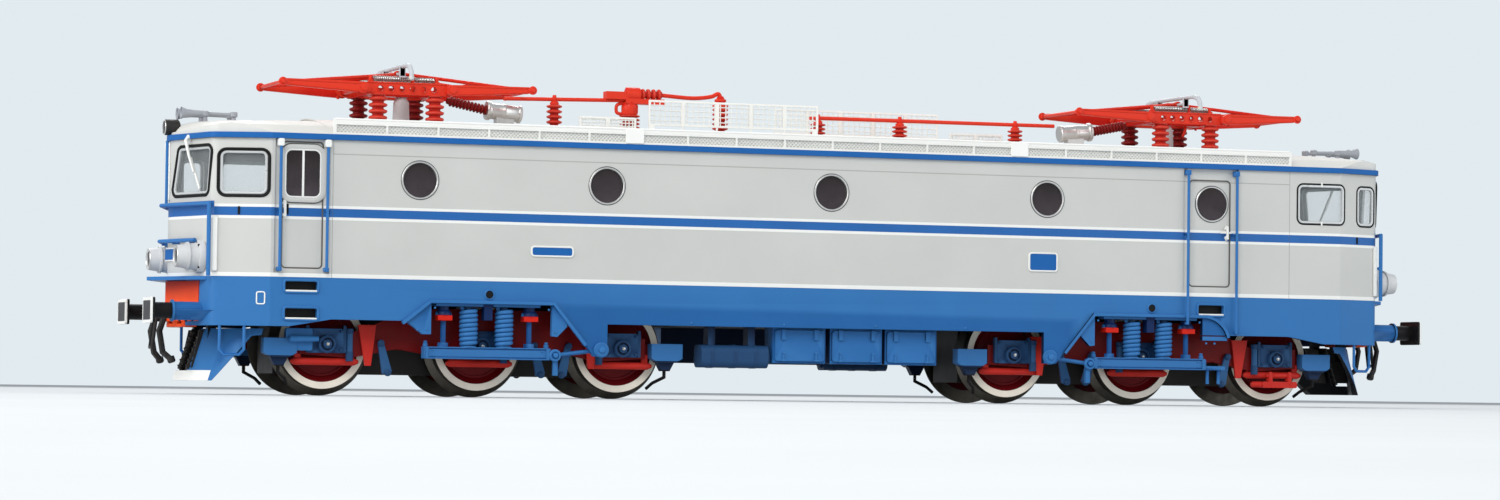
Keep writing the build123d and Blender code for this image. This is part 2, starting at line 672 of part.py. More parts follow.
with BuildPart() as bolsters:
    outer_y = bolster_y + bolster_half_t
    for side in (-1, 1):
        for end in (-1, 1):
            way = -side * end
            add(bolster_block(way, side, (-10.7, outer_y - 2 * bolster_half_t, bolster_low),
                              (10.6, outer_y, bolster_top)))
            for low, high in ((-8.6, -4.9), (-4.3, 4.3), (4.9, 8.6)):
                add(bolster_block(way, side, (low, outer_y - 0.6, bolster_low + 0.45),
                                  (high, outer_y + 1, bolster_top - 0.4)), mode=Mode.SUBTRACT)
            add(bolster_block(way, side, (-8.8, bolster_y - 1.3, seat_low), (8.8, half_w - 0.4, notch_top)))
            add(bolster_block(way, side, (-0.7, bolster_y - 0.6, seat_low - 2.2),
                              (0.7, bolster_y + 1.2, seat_low)))
            # dampers: foot, rod, bracket and head
            for out in (-damper_out, damper_out):
                x = way * (pivot_x + out)
                y = side * bolster_y
                for low, high, radius in ((bolster_top - 0.1, seat_low + 0.1, 0.45),
                                          (bolster_top - 0.1, bolster_top + 0.7, 0.9),
                                          (bracket_z + 0.8, seat_low, 0.95)):
                    add(bent_rod([(x, y, low), (x, y, high)], radius))
                add(bolster_block(way, side, (out - 1.2, bolster_y - 0.9, bracket_z),
                                  (out + 1.2, bolster_y + 1.2, bracket_z + 0.8)))
            # link to the skirt's pin
            boss_out, boss_z = link_boss
            boss_x = way * (pivot_x + boss_out)
            pin_x, pin_z = way * (pivot_x + link_pin[0]), link_pin[1]
            link_y = side * (outer_y - 0.3)
            link_end = (pin_x - (pin_x - boss_x) * 0.1, link_y, pin_z - 0.1)
            add(bolster_block(way, side, (boss_out - 0.5, outer_y - 0.9, boss_z - 0.8),
                              (boss_out + 0.8, outer_y, boss_z + 0.8)))
            add(bent_rod([(boss_x, link_y, boss_z), link_end], 0.35))
            add(bolster_block(way, side, (boss_out - 0.6, outer_y - 0.7, rail_z + 2.6),
                              (boss_out + 0.2, outer_y - 0.1, boss_z)))
        # the bogie under the side door has a short step plate on two links
        add(bolster_block(-side, side, (9.0, outer_y - 0.8, bolster_low),
                          (14.4, outer_y, bolster_low + 0.7)))
        for out in (11.2, 13.3):
            x = -side * (pivot_x + out)
            y = side * (outer_y - 0.4)
            add(bent_rod([(x, y, rail_z + 2.7), (x, y, bolster_low + 0.1)], 0.3))
    add(skirt.part, mode=Mode.SUBTRACT)
save(bolsters, "side_bolsters", "steelblue")

with BuildPart() as springs:
    for end in (-1, 1):
        for side in (-1, 1):
            for out in (-3.0, 3.0):
                x = end * (pivot_x + out)
                y = side * bolster_y
                add(ribbed((x, y, bolster_top), (x, y, seat_low), spring_r, 1.2, 8))
save(springs, "bolster_springs", "steelblue")

# Equipment boxes and air tanks under the low part of the block
box_low = rail_z + 5.2
box_out = half_w - 1.75
box_depth = 4.2
tank_low = rail_z + 4.3
tank_h = 3.8
with BuildPart() as boxes:
    for side in (-1, 1):
        for x in (-4.7, 5.5, 15.4):
            xs = sorted((-side * (x - 4.7), -side * (x + 4.7)))
            ys = sorted((side * (box_out - box_depth), side * (box_out - 0.3)))
            add(block_between((xs[0], ys[0], box_low), (xs[1], ys[1], sole_z)))
            with BuildSketch(side_face(side, box_out - 0.4)):
                with Locations((x, (box_low + sole_z) / 2)):
                    RectangleRounded(8.8, sole_z - box_low - 0.8, 0.4)
            extrude(amount=0.4)
            with BuildSketch(side_face(side, box_out - 0.1)):
                with Locations((x - 2.9, sole_z - 1.1), (x + 2.9, sole_z - 1.1)):
                    Rectangle(0.7, 1.5)
            extrude(amount=0.35)
save(boxes, "equipment_boxes", "steelblue")

tank_x = (-22.0, -10.2)
with BuildPart() as tanks:
    for side in (-1, 1):
        middle_y = side * (box_out - 2.0)
        with BuildSketch(Plane.YZ.offset(-side * tank_x[0])):
            with Locations((middle_y, tank_low + tank_h / 2)):
                RectangleRounded(4.0, tank_h, 1.2)
        extrude(amount=-side * (tank_x[1] - tank_x[0]))
        for x in (-20.0, -13.0):
            xs = sorted((-side * (x - 0.6), -side * (x + 0.6)))
            add(block_between((xs[0], middle_y - 1.2, tank_low + tank_h - 0.2),
                              (xs[1], middle_y + 1.2, sole_z)))
save(tanks, "air_tanks", "black")

# Framed mesh panels along the roof edge, and the guard fences on the roof
panel_pitch = 8.53
panel_count = 20
panel_rail = 0.35
cap_h = 0.75
grille_h = 2.5
fence_t = 0.3
# Fences: (x start, x end, low, high, bays)
fences = [(-28.2, 2.2, 44.8, 49.1, 5), (-40.4, -30.4, 44.0, 46.0, 2)]
fence_y = 4.6
with BuildPart() as grilles:
    for side in (-1, 1):
        with BuildSketch(side_face(side, half_w + 0.05)):
            with Locations((0, gutter_z + gutter_h + grille_h / 2)):
                Rectangle(panel_count * panel_pitch + 2 * panel_rail, grille_h)
            with Locations((0, gutter_z + gutter_h + (grille_h + panel_rail - cap_h) / 2)):
                with GridLocations(panel_pitch, 1, panel_count, 1):
                    Rectangle(panel_pitch - panel_rail, grille_h - panel_rail - cap_h, mode=Mode.SUBTRACT)
        extrude(amount=gutter_out - 0.1)
        for start, stop, low, high, bays in fences:
            bay = (stop - start) / bays
            with BuildSketch(side_face(side, fence_y)):
                with Locations(((start + stop) / 2, rail_z + (low + high) / 2)):
                    Rectangle(stop - start, high - low)
                    with GridLocations(bay, 1, bays, 1):
                        Rectangle(bay - 2 * panel_rail, high - low - 2 * panel_rail, mode=Mode.SUBTRACT)
            extrude(amount=fence_t)
            with BuildSketch(side_face(side, fence_y)):
                with Locations(*[(x, rail_z + low - 0.7) for x in (start + 0.6, stop - 0.6)]):
                    Rectangle(0.9, 1.6)
            extrude(amount=fence_t)
    add(crown(0.0), mode=Mode.SUBTRACT)
save(grilles, "roof_grilles", "whitesmoke")

# Bus bar on ribbed insulators: its stretches as (x start, z start, x end, z end), insulators as (x, top)
bus_runs = [(-47.3, 47.8, -34.0, 49.0), (2.5, 47.4, 48.2, 47.5)]
bus_stands = [(-43.3, 47.9), (19.1, 47.2), (40.8, 47.2), (4.0, 47.1)]
bus_r = 0.35
with BuildPart() as bus:
    for x0, z0, x1, z1 in bus_runs:
        add(bent_rod([(x0, 0, rail_z + z0), (x1, 0, rail_z + z1)], bus_r))
    for x, top in bus_stands:
        add(ribbed((x, 0, crest_z - 0.3), (x, 0, rail_z + top - 0.5), 1.3, 0.9, 4))
        add(block_between((x - 0.6, -0.6, rail_z + top - 0.6), (x + 0.6, 0.6, rail_z + top + 0.5)))
    add(crown(0.0), mode=Mode.SUBTRACT)
save(bus, "roof_bus_bar", "tomato")

# Main circuit breaker: insulator, switch body, and the bent lead to its bushing
breaker_x = -28.8
with BuildPart() as breaker:
    add(ribbed((breaker_x, 0, crest_z - 0.3), (breaker_x, 0, rail_z + 46.9), 1.7, 1.3, 4))
    add(bent_rod([(breaker_x, 0, rail_z + 46.8), (breaker_x, 0, rail_z + 48.9)], 1.25, 12))
    add(block_between((-34.0, -1.0, rail_z + 48.8), (-28.0, 1.0, rail_z + 50.2)))
    add(bent_rod([(-30.4, 0, rail_z + 49.6), (-26.6, 0, rail_z + 49.6)], 1.6, 12))
    add(block_between((-30.4, -1.2, rail_z + 48.7), (-22.6, 1.2, rail_z + 49.5)))
    add(ribbed((-22.8, 0, rail_z + 50.2), (-26.7, 0, rail_z + 50.2), 0.95, 0.6, 4))
    add(bent_rod([(-30.0, 0, rail_z + 48.8), (-31.2, 0, rail_z + 48.4), (-31.2, 0, rail_z + 47.1),
                  (-30.0, 0, rail_z + 46.9), (-29.4, 0, rail_z + 46.9)], 0.3))
    add(bent_rod([(-22.9, 0, rail_z + 50.1), (-19.0, 0, rail_z + 49.9), (-15.4, 0, rail_z + 50.5),
                  (-13.8, 0, rail_z + 50.9)], 0.35))
    add(ribbed((-13.8, 0, crest_z - 0.3), (-13.8, 0, rail_z + 49.4), 1.3, 0.85, 6))
    add(ribbed((-13.8, 0, rail_z + 51.2), (-13.8, 0, rail_z + 49.3), 1.4, 0.8, 1))
    add(crown(0.0), mode=Mode.SUBTRACT)
save(breaker, "main_breaker", "tomato")


def bogie(end, name):
    """Gearbox, side frames, brake rigging and sandboxes of one bogie; end is -1 left, 1 right."""
    middle = end * pivot_x
    axles = [middle + end * axle_outer, middle, middle - end * axle_inner]
    axle_z = rail_z + tread_d / 2
    box_top = axle_z + 4.2
    wheel_out = back_to_back / 2 + wheel_w
    frame_in = wheel_out + frame_gap
    frame_out = frame_in + frame_t
    with BuildPart() as gearbox:
        box_x = middle + end * 0.9
        add(block_between((box_x - 32, -5.4, box_top - 9.0), (box_x + 32, 5.4, box_top)))
        add(rod((middle, 0, axle_z), (middle, 0, floor_low - fit), 3.2))
        for x in axles:
            add(rod((x, -6, axle_z), (x, 6, axle_z), axle_d / 2 + axle_play), mode=Mode.SUBTRACT)
    save(gearbox, f"bogie_gearbox_{name}", "dimgray")

    # side frame, seen from outside: (outwards from the pivot, above the axle)
    outline = [(-28.4, -1.6), (-28.4, 1.7), (-20.0, 1.8), (-15.6, 4.2), (-12.0, 6.0), (12.0, 6.0),
               (15.6, 4.2), (21.8, 1.8), (30.2, 1.7), (30.2, -1.6), (21.8, -2.2), (14.0, -0.6),
               (4.6, -2.2), (-4.6, -2.2), (-13.0, -0.6), (-20.0, -2.2)]
    sand_in = middle - end * 31.8
    sand_out = middle + end * 33.6
    arm_t = 0.6
    damper_r = 0.55
    lever_t = 0.6
    # brake lever: (from the axle towards the pivot, above the axle)
    lever_outline = [(8.6, 0.4), (9.6, 0.4), (11.0, -4.2), (10.4, -5.0), (9.4, -4.6)]
    with BuildPart() as frame:
        for side in (-1, 1):
            face = side_face(side, frame_in)
            corners = [(-side * (middle + end * out), axle_z + up) for out, up in outline]
            add(plate(face, corners, frame_t))
            # thin arms carry the sandboxes
            xs = sorted((sand_in, sand_out))
            ys = sorted((side * frame_in, side * (frame_in + arm_t)))
            add(block_between((xs[0], ys[0], axle_z - 0.8), (xs[1], ys[1], axle_z + 0.8)))
            # axle-box covers, with a raised cap
            for x in axles:
                cover = side_face(side, frame_out - 0.1)
                with BuildSketch(cover):
                    with Locations((-side * x, axle_z + 0.55)):
                        RectangleRounded(5.6, 3.9, 0.5)
                extrude(amount=0.9)
                with BuildSketch(cover):
                    with Locations((-side * x, axle_z)):
                        RegularPolygon(1.5, 12)
                extrude(amount=1.2)
                # damper beside the box, and the brake lever that hangs from the frame
                way = 1 if x < middle or (x == middle and end < 0) else -1
                damper = (x + way * 3.9, side * (frame_out + damper_r - 0.1))
                add(bent_rod([(*damper, axle_z - 2.6), (*damper, axle_z + 2.2)], damper_r))
                lever = [(-side * (x + way * out), axle_z + up) for out, up in lever_outline]
                add(plate(side_face(side, frame_out - 0.1), lever, lever_t))
        # cross members seat the side frames on the gearbox
        for x in (middle - 11.0, middle + 11.0):
            add(block_between((x - 1.0, -frame_in - 0.1, box_top),
                              (x + 1.0, frame_in + 0.1, box_top + 0.9)))
    save(frame, f"bogie_frame_{name}", "firebrick")

    # brakes: a bar across each wheel on two hangers, and shoes on the treads
    bar_z = rail_z + 4.4
    with BuildPart() as brakes:
        for side in (-1, 1):
            ys = sorted((side * (frame_in + 0.1), side * (frame_in + 0.9)))
            for x in axles:
                add(block_between((x - 5.0, ys[0], bar_z - 0.5), (x + 5.0, ys[1], bar_z + 0.5)))
                for reach in (-4.4, 4.4):
                    add(block_between((x + reach - 0.5, ys[0], bar_z),
                                      (x + reach + 0.5, ys[1], axle_z - 0.9)))
            hanger = [(17.6, 3.2), (20.6, 3.2), (19.4, -3.4), (18.4, -3.4)]
            for way in (-1, 1):
                corners = [(-side * (middle + way * end * out), axle_z + up) for out, up in hanger]
                add(plate(side_face(side, frame_out), corners, 0.5))
        add(frame.part, mode=Mode.SUBTRACT)
    save(brakes, f"brake_rigging_{name}", "red")

    # sandboxes: bevelled box over a hopper, and the pipe down to the wheel
    sand_t = 2.2
    box_face = [(-2.7, 0.9), (2.7, 0.9), (2.7, -1.5), (1.5, -2.2), (-1.5, -2.2), (-2.7, -1.5)]
    hopper = [(-1.5, -2.1), (1.5, -2.1), (0.7, -3.6), (-0.7, -3.6)]
    with BuildPart() as sandboxes:
        for side in (-1, 1):
            for x, wheel_x, way in ((sand_in, axles[2], -end), (sand_out, axles[0], end)):
                face = side_face(side, frame_in + arm_t)
                for outline, thickness in ((box_face, sand_t), (hopper, sand_t - 0.7)):
                    corners = [(-side * x + along_x, axle_z + up) for along_x, up in outline]
                    add(plate(face, corners, thickness))
                y = side * (frame_in + arm_t + 0.7)
                foot_x = wheel_x + way * 5.6
                bend = (foot_x + way * 0.6, side * (frame_in - 0.4), rail_z + 1.6)
                foot = (foot_x, side * (wheel_out - 1.0), rail_z + 0.7)
                add(bent_rod([(x, y, axle_z - 3.5), (x, y, axle_z - 4.6), bend, foot], 0.3, 6))
        add(frame.part, mode=Mode.SUBTRACT)
    save(sandboxes, f"sandboxes_{name}", "steelblue")
    return axles


def wheelset(x, number):
    """One axle with its two wheels: dished centres on the axle, and flanged tyres around them."""
    axle_z = rail_z + tread_d / 2
    tread_r = tread_d / 2
    rim_r = tread_r - tyre_t
    inner = back_to_back / 2
    outer = inner + wheel_w
    axle_r = axle_d / 2
    with BuildPart() as centre:
        for side in (-1, 1):
            with BuildSketch(Plane(origin=(x, 0, axle_z), x_dir=(0, side, 0), z_dir=(side, 0, 0))):
                with BuildLine():
                    Polyline((0, 0), (0, axle_r), (inner + 0.3, axle_r), (inner + 0.3, rim_r),
                             (outer - 0.4, rim_r), (outer - 1.1, rim_r - 0.9),
                             (outer - 0.2, axle_r + 0.9), (outer - 0.2, 0), close=True)
                make_face()
            revolve(axis=Axis((x, 0, axle_z), (0, 1, 0)))
    save(centre, f"wheel_centres_{number}", "darkred")
    with BuildPart() as tyres:
        for side in (-1, 1):
            with BuildSketch(Plane(origin=(x, 0, axle_z), x_dir=(0, side, 0), z_dir=(side, 0, 0))):
                with BuildLine():
                    Polyline((inner, rim_r), (inner, tread_r + flange_depth), (inner + flange_w, tread_r),
                             (outer, tread_r), (outer, rim_r), close=True)
                make_face()
            revolve(axis=Axis((x, 0, axle_z), (0, 1, 0)))
    save(tyres, f"tyres_{number}", "silver")


number = 1
for end, name in ((-1, "left"), (1, "right")):
    for x in sorted(bogie(end, name)):
        wheelset(x, number)
        number += 1

# Pantographs. Folded, each is a flat diamond: lower arms run outwards from their pivots to the knees,
# and the upper arms come back from there to the head. It is open at the inner upper arms' top end.
knee_x = panto_pivot + lower_arm * cos(radians(lower_rest))
knee_z = panto_z + lower_arm * sin(radians(lower_rest))
apex_z = panto_z + apex_rise
beam_half_t = 0.45
beam_low = panto_z - 0.9
arm_half_t = 0.45
shaft_r = 0.45
upper_y = 6.3               # upper rods at the knee, from the centre line
eye_y = 2.0                 # eyes of the outer upper arms
open_y = 3.0                # ends of the inner upper arms
cross_x = 5.6               # cross members of the base
lift_y = 4.4                # lifting springs, between posts on the cross members
lift_z = panto_z + 1.0
eye_r = 0.6
head_pin_r = 0.25
pan_rise = 1.1              # contact strip above the head's pin


def pantograph(centre, name):
    """Base frame, insulators, drive, and the five moving pieces."""
    outer = 1 if centre > 0 else -1
    with BuildPart() as base:
        beam = [(-8.7, 0.0), (-8.2, 0.7), (-6.6, 1.0), (6.6, 1.0), (8.2, 0.7), (8.7, 0.0), (8.2, -0.6),
                (6.6, -0.9), (-6.6, -0.9), (-8.2, -0.6)]
        beam_holes = [((i - 2.5) * 1.8, 0.5) for i in range(6)]
        beam_holes += [(x, shaft_r + pin_play) for x in (-panto_pivot, panto_pivot)]
        for side in (-1, 1):
            face = side_face(side, beam_y - beam_half_t)
            add(plate(face, [(-side * centre + x, panto_z + up) for x, up in beam], 2 * beam_half_t))
            for x, radius in beam_holes:
                add(rod((centre + x, side * (beam_y - 1), panto_z),
                        (centre + x, side * (beam_y + 1), panto_z), radius), mode=Mode.SUBTRACT)
        for x in (centre - cross_x, centre + cross_x):
            add(block_between((x - 0.45, -beam_y, beam_low), (x + 0.45, beam_y, beam_low + 0.6)))
            for y in (-lift_y, lift_y):
                add(block_between((x - 0.4, y - 0.4, beam_low + 0.5), (x + 0.4, y + 0.4, lift_z + 0.5)))
        add(block_between((centre - cross_x, -1.3, beam_low), (centre + cross_x, 1.3, beam_low + 0.5)))
        hook_x = centre + outer * 2.6
        add(bent_rod([(hook_x, -0.9, beam_low + 0.1), (hook_x, -0.9, beam_low - 0.8),
                      (hook_x - 0.5, -0.9, beam_low - 1.9)], 0.28, 6))
    save(base, f"panto_base_{name}", "tomato")
    with BuildPart() as insulators:
        for x in (-4.8, 4.8):
            for side in (-1, 1):
                y = side * beam_y
                add(ribbed((centre + x, y, crest_z - 1.0), (centre + x, y, beam_low), 1.5, 0.95, 5))
        add(crown(0.0), mode=Mode.SUBTRACT)
    save(insulators, f"panto_insulators_{name}", "firebrick")

    # drive towards the locomotive's middle, and the lifting springs between the base's posts
    inwards = -outer
    with BuildPart() as drive:
        near, far = centre + inwards * 15.5, centre + inwards * 21.4
        drive_z = rail_z + 46.5
        add(rod((near, 0, drive_z), (far, 0, drive_z), 1.2))
        for x in (near, far):
            add(bent_rod([(x - 0.3, 0, drive_z), (x + 0.3, 0, drive_z)], 1.5, 12))
        xs = sorted((near + inwards * 1.5, far - inwards * 1.5))
        add(block_between((xs[0], -1.0, crest_z - 0.3), (xs[1], 1.0, drive_z)))
        add(ribbed((near, 0, drive_z), (centre + inwards * 10.2, 0, drive_z + 0.2), 0.8, 0.55, 8, 8))
        elbow = centre + inwards * 9.8
        add(block_between((elbow - 0.7, -0.7, drive_z - 0.5), (elbow + 0.7, 0.7, drive_z + 1.2)))
        add(ribbed((elbow, 0, crest_z - 0.3), (elbow, 0, drive_z - 0.4), 1.2, 0.8, 3))
        riser_x = centre - outer * 0.8
        add(bent_rod([(riser_x, 0, crest_z - 0.3), (riser_x, 0, beam_low)], 1.2, 16))
        for y in (-lift_y, lift_y):
            spring_x = [centre - cross_x + 0.4, centre + cross_x - 0.4]
            add(ribbed((spring_x[0], y, lift_z), (spring_x[1], y, lift_z), 0.33, 0.25, 16, 8))
        add(crown(0.0), mode=Mode.SUBTRACT)
    save(drive, f"panto_drive_{name}", "silver")

    for half, tag in ((outer, "outer"), (-outer, "inner")):
        pivot = centre + half * panto_pivot
        knee = centre + half * knee_x
        run_x, run_z = knee - pivot, knee_z - panto_z
        # lower arm, along and across its run: (share of the run, half depth)
        taper = [(-0.07, 0.55), (0.0, 0.9), (0.2, 0.85), (0.95, 0.55), (1.03, 0.3)]
        with BuildPart() as lower:
            edge = taper + [(share, -depth) for share, depth in reversed(taper)]
            for side in (-1, 1):
                corners = [(-side * (pivot + share * run_x), panto_z + share * run_z + up)
                           for share, up in edge]
                add(plate(side_face(side, arm_y - arm_half_t), corners, 2 * arm_half_t))
                add(rod((knee, side * (arm_y - 1), knee_z), (knee, side * (arm_y + 1), knee_z),
                        pin_r + pin_play), mode=Mode.SUBTRACT)
            add(rod((pivot, -arm_y, panto_z), (pivot, arm_y, panto_z), shaft_r))
        save(lower, f"panto_lower_{tag}_{name}", "tomato")
        top_y = eye_y if tag == "outer" else open_y
        apex = centre + half * apex_half
        with BuildPart() as upper:
            add(rod((knee, -arm_y - arm_half_t, knee_z), (knee, arm_y + arm_half_t, knee_z), pin_r))
            for side in (-1, 1):
                add(bent_rod([(knee, side * upper_y, knee_z), (apex, side * top_y, apex_z)], 0.3))
            brace = 0.45
            brace_y = upper_y + (top_y - upper_y) * brace
            brace_x = knee + (apex - knee) * brace
            brace_z = knee_z + (apex_z - knee_z) * brace
            add(bent_rod([(brace_x, -brace_y, brace_z), (brace_x, brace_y, brace_z)], 0.25, 6))
            if tag == "outer":
                for side in (-1, 1):
                    ys = sorted((side * (eye_y - 0.35), side * (eye_y + 0.35)))
                    add(rod((apex, ys[0], apex_z), (apex, ys[1], apex_z), eye_r))
                    add(rod((apex, ys[0] - 1, apex_z), (apex, ys[1] + 1, apex_z), head_pin_r + pin_play),
                        mode=Mode.SUBTRACT)
        save(upper, f"panto_upper_{tag}_{name}", "tomato")

    hinge_x = centre + outer * apex_half
    bracket_y = 5.3
    pan_z = apex_z + pan_rise
    # the strip's bent end: (in from its tip, below its top)
    pan_end = [(0.0, 2.6), (0.3, 1.2), (1.2, 0.3), (2.6, 0.0)]
    with BuildPart() as head:
        add(rod((hinge_x, -bracket_y, apex_z), (hinge_x, bracket_y, apex_z), head_pin_r))
        for side in (-1, 1):
            ys = sorted((side * (bracket_y - 0.2), side * (bracket_y + 0.2)))
            add(block_between((hinge_x - 0.5, ys[0], apex_z - 0.7), (hinge_x + 0.5, ys[1], pan_z)))
        bend = [(hinge_x, -pan_half + inwards_y, pan_z - drop) for inwards_y, drop in pan_end]
        add(bent_rod(bend + [(x, -y, z) for x, y, z in reversed(bend)], pan_r))
    save(head, f"panto_head_{name}", "lightgray")


pantograph(-panto_x, "left")
pantograph(panto_x, "right")
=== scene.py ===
import random
from math import atan, copysign, cos, hypot, pi, radians, sin, tan

import bmesh
import bpy
from mathutils import Matrix, Vector


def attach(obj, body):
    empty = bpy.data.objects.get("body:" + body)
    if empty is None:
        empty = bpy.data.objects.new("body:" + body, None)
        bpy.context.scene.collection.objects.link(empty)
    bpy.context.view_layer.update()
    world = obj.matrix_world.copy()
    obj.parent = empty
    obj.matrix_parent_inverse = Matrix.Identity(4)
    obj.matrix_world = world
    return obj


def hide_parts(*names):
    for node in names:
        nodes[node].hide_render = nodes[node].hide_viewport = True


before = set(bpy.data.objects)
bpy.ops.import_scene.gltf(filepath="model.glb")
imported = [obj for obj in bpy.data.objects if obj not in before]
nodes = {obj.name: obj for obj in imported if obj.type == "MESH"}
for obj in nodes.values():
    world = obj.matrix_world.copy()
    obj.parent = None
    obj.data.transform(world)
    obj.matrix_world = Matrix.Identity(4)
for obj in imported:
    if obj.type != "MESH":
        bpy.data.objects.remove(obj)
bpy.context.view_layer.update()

scene = bpy.context.scene
random.seed(4)

# Sizes in millimetres, as in the part. Heights are above the rail top, which lies RAIL above the ground
MM = 0.001
RAIL = 1.1
HALF_W = 17.24          # half width of the body
TAPER_X = 95.5          # where the sides start to taper
CORNER_X, CORNER_Y = 104.3, 14
NOSE_X = 108.6
DECK_Z, GUTTER_Z, CREST_Z = 17.75, 39.85, 44
PIVOT_X = 59.2          # bogie pivots
AXLE_OUTER, AXLE_INNER, AXLE_Z = 25.9, 24.1, 7.2
FRAME_IN, FRAME_OUT = 10.8, 12.2
BOLSTER_Y = HALF_W - 1.6
BUFFER_Y, BUFFER_Z, BUFFER_FACE = 10.06, 12.2, 113.8
BUFFER_W, BUFFER_H, BUFFER_EDGE = 6.5, 4.1, 0.5
LAMP_Y, LAMP_Z = 10.6, 20.9
PANTO_X, PANTO_Z = 70.6, 49.2
PANTO_PIVOT, ARM, ARM_REST = 7.45, 13.66, radians(2)
ARM_Y, BEAM_Y, SPRING_Y = 7.4, 6.3, 4.4
END_DOOR = (-90.35, 29.3, 6.7, 20.2)
MID_DOOR = (70.3, 28.7, 7.8, 18.4)
DOOR_WINDOW = (-90.35, 34.35, 6.1, 7.9)
END_WINDOW = (-99.7, 34.3, 7.4, 7.2, 1.1)
MID_WINDOW = (91.7, 34.3, 9.4, 7, 1.1)
CORNER_WINDOW = (101.5, 34.2, 4.2, 7, 1.1)
ROUND_WINDOWS = [-71.1, -39.4, 0, 39.4, 70.7]
ROUND_Z, ROUND_R = 33.8, 2.85
WINDSCREEN = [(1.5, 30.8), (12.6, 30.8), (13.5, 38.6), (3.4, 38.6)]
WAIST_LOW, WAIST_HIGH, LINE = 27.45, 28.83, 0.45
ENDS = ((-1, "left"), (1, "right"))
SIDES = (-1, 1)         # -1 is the near side
UP = (0, 0, 1)


# Faces of the body that small pieces sit on
def wall_at(x):
    """Half width of the body at x, and the outward normal there as (along, across)."""
    if abs(x) <= TAPER_X:
        return HALF_W, 0, 1
    slope = (HALF_W - CORNER_Y) / (CORNER_X - TAPER_X)
    lean = atan(slope)
    return HALF_W - (abs(x) - TAPER_X) * slope, copysign(sin(lean), x), cos(lean)


def on_side(side):
    """Places (x, z, out) on one side; x is as seen from outside."""
    def place(x, z, out=0):
        half, along, across = wall_at(x)
        return Vector((-side * (x + along * out), side * (half + across * out), z))
    return place


def on_front(end, half):
    """Places (y from the centre line, z, out) on one half of a front."""
    run = hypot(NOSE_X - CORNER_X, CORNER_Y)
    along, across = CORNER_Y / run, (NOSE_X - CORNER_X) / run

    def place(y, z, out=0):
        x = NOSE_X - (NOSE_X - CORNER_X) * y / CORNER_Y + along * out
        return Vector((end * x, half * (y + across * out), z))
    return place


def on_plane(side, y, base=0):
    """Places (x, z, out) on an upright plane y from the centre line; base is added to the heights."""
    return lambda x, z, out=0: Vector((-side * x, side * (y + out), base + z))


# Outlines, counter-clockwise, as (along, up)
def rounded(cx, cz, w, h, r, steps=5):
    points = []
    for sx, sz, start in ((1, -1, -90), (1, 1, 0), (-1, 1, 90), (-1, -1, 180)):
        for i in range(steps + 1):
            turn = radians(start + 90 * i / steps)
            points.append((cx + sx * (w / 2 - r) + r * cos(turn), cz + sz * (h / 2 - r) + r * sin(turn)))
    return points


def turns(steps):
    return [2 * pi * i / steps for i in range(steps)]


def circle(cx, cz, r, steps=40):
    return [(cx + r * cos(t), cz + r * sin(t)) for t in turns(steps)]


def round_corners(points, r, steps=5):
    result = []
    for i, point in enumerate(points):
        p = Vector(point)
        a = (Vector(points[i - 1]) - p).normalized()
        b = (Vector(points[(i + 1) % len(points)]) - p).normalized()
        half = a.angle(b) / 2
        centre = p + (a + b).normalized() * (r / sin(half))
        start, stop = p + a * (r / tan(half)), p + b * (r / tan(half))
        for k in range(steps + 1):
            ray = (start.lerp(stop, k / steps) - centre).normalized()
            result.append(tuple(centre + ray * r))
    return result


def grown(loop, amount):
    """The outline moved outwards by amount."""
    result = []
    for i, point in enumerate(loop):
        p = Vector(point)
        u = (p - Vector(loop[i - 1])).normalized()
        v = (Vector(loop[(i + 1) % len(loop)]) - p).normalized()
        normal = Vector((u.y + v.y, -u.x - v.x)).normalized()
        result.append(tuple(p + normal * (amount / max(0.5, normal.dot(Vector((u.y, -u.x)))))))
    return result


def curve(points, steps=6):
    """Points of a smooth line through the given ones."""
    pts = [Vector(p) for p in points]
    pts = [pts[0] * 2 - pts[1]] + pts + [pts[-1] * 2 - pts[-2]]
    result = []
    for a, b, c, d in zip(pts, pts[1:], pts[2:], pts[3:]):
        for t in (k / steps for k in range(steps)):
            bend = (a * 2 - b * 5 + c * 4 - d) * t ** 2 + (b * 3 - a - c * 3 + d) * t ** 3
            result.append(0.5 * (b * 2 + (c - a) * t + bend))
    return result + [pts[-2]]


# Profiles: of a strip as (outwards in the face, proud of it), of a turned form as (along, radius)
def flat(low, high, reach_in, reach_out):
    return [(reach_in, low), (reach_in, high), (reach_out, high), (reach_out, low)]


def sheds(low, high, count, radius, waist):
    """A ribbed insulator, its ribs rounded, with a plain foot and top."""
    pitch = (high - low) / count
    profile = [(low, waist)]
    for i in range(count):
        profile += [(low + pitch * (i + along), waist + (radius - waist) * share)
                    for along, share in ((0.1, 0), (0.22, 0.72), (0.4, 1), (0.56, 1), (0.7, 0.8), (0.86, 0))]
    return profile + [(high, waist)]


def bolt(radius, height, top, domed=0.06):
    """A screw head, chamfered to the radius top."""
    return [(0, radius), (height, radius), (height + domed, top), (height + domed, 0)]


# Materials
WHITE = (236, 236, 232)
GREY = (199, 199, 195)
ROOF_WHITE = (214, 213, 208)
BLUE = (36, 96, 158)
# paler blue of the painted highlight along sharp edges
BLUE_EDGE_LIGHT = (70, 134, 194)
STRIPE = (30, 96, 166)
RED = (206, 34, 20)
BLACK = (24, 23, 24)


def linear(rgb):
    """sRGB values from 0 to 255 as linear RGBA."""
    values = [c / 255 for c in rgb]
    return tuple(c / 12.92 if c <= 0.04045 else ((c + 0.055) / 1.055) ** 2.4 for c in values) + (1,)


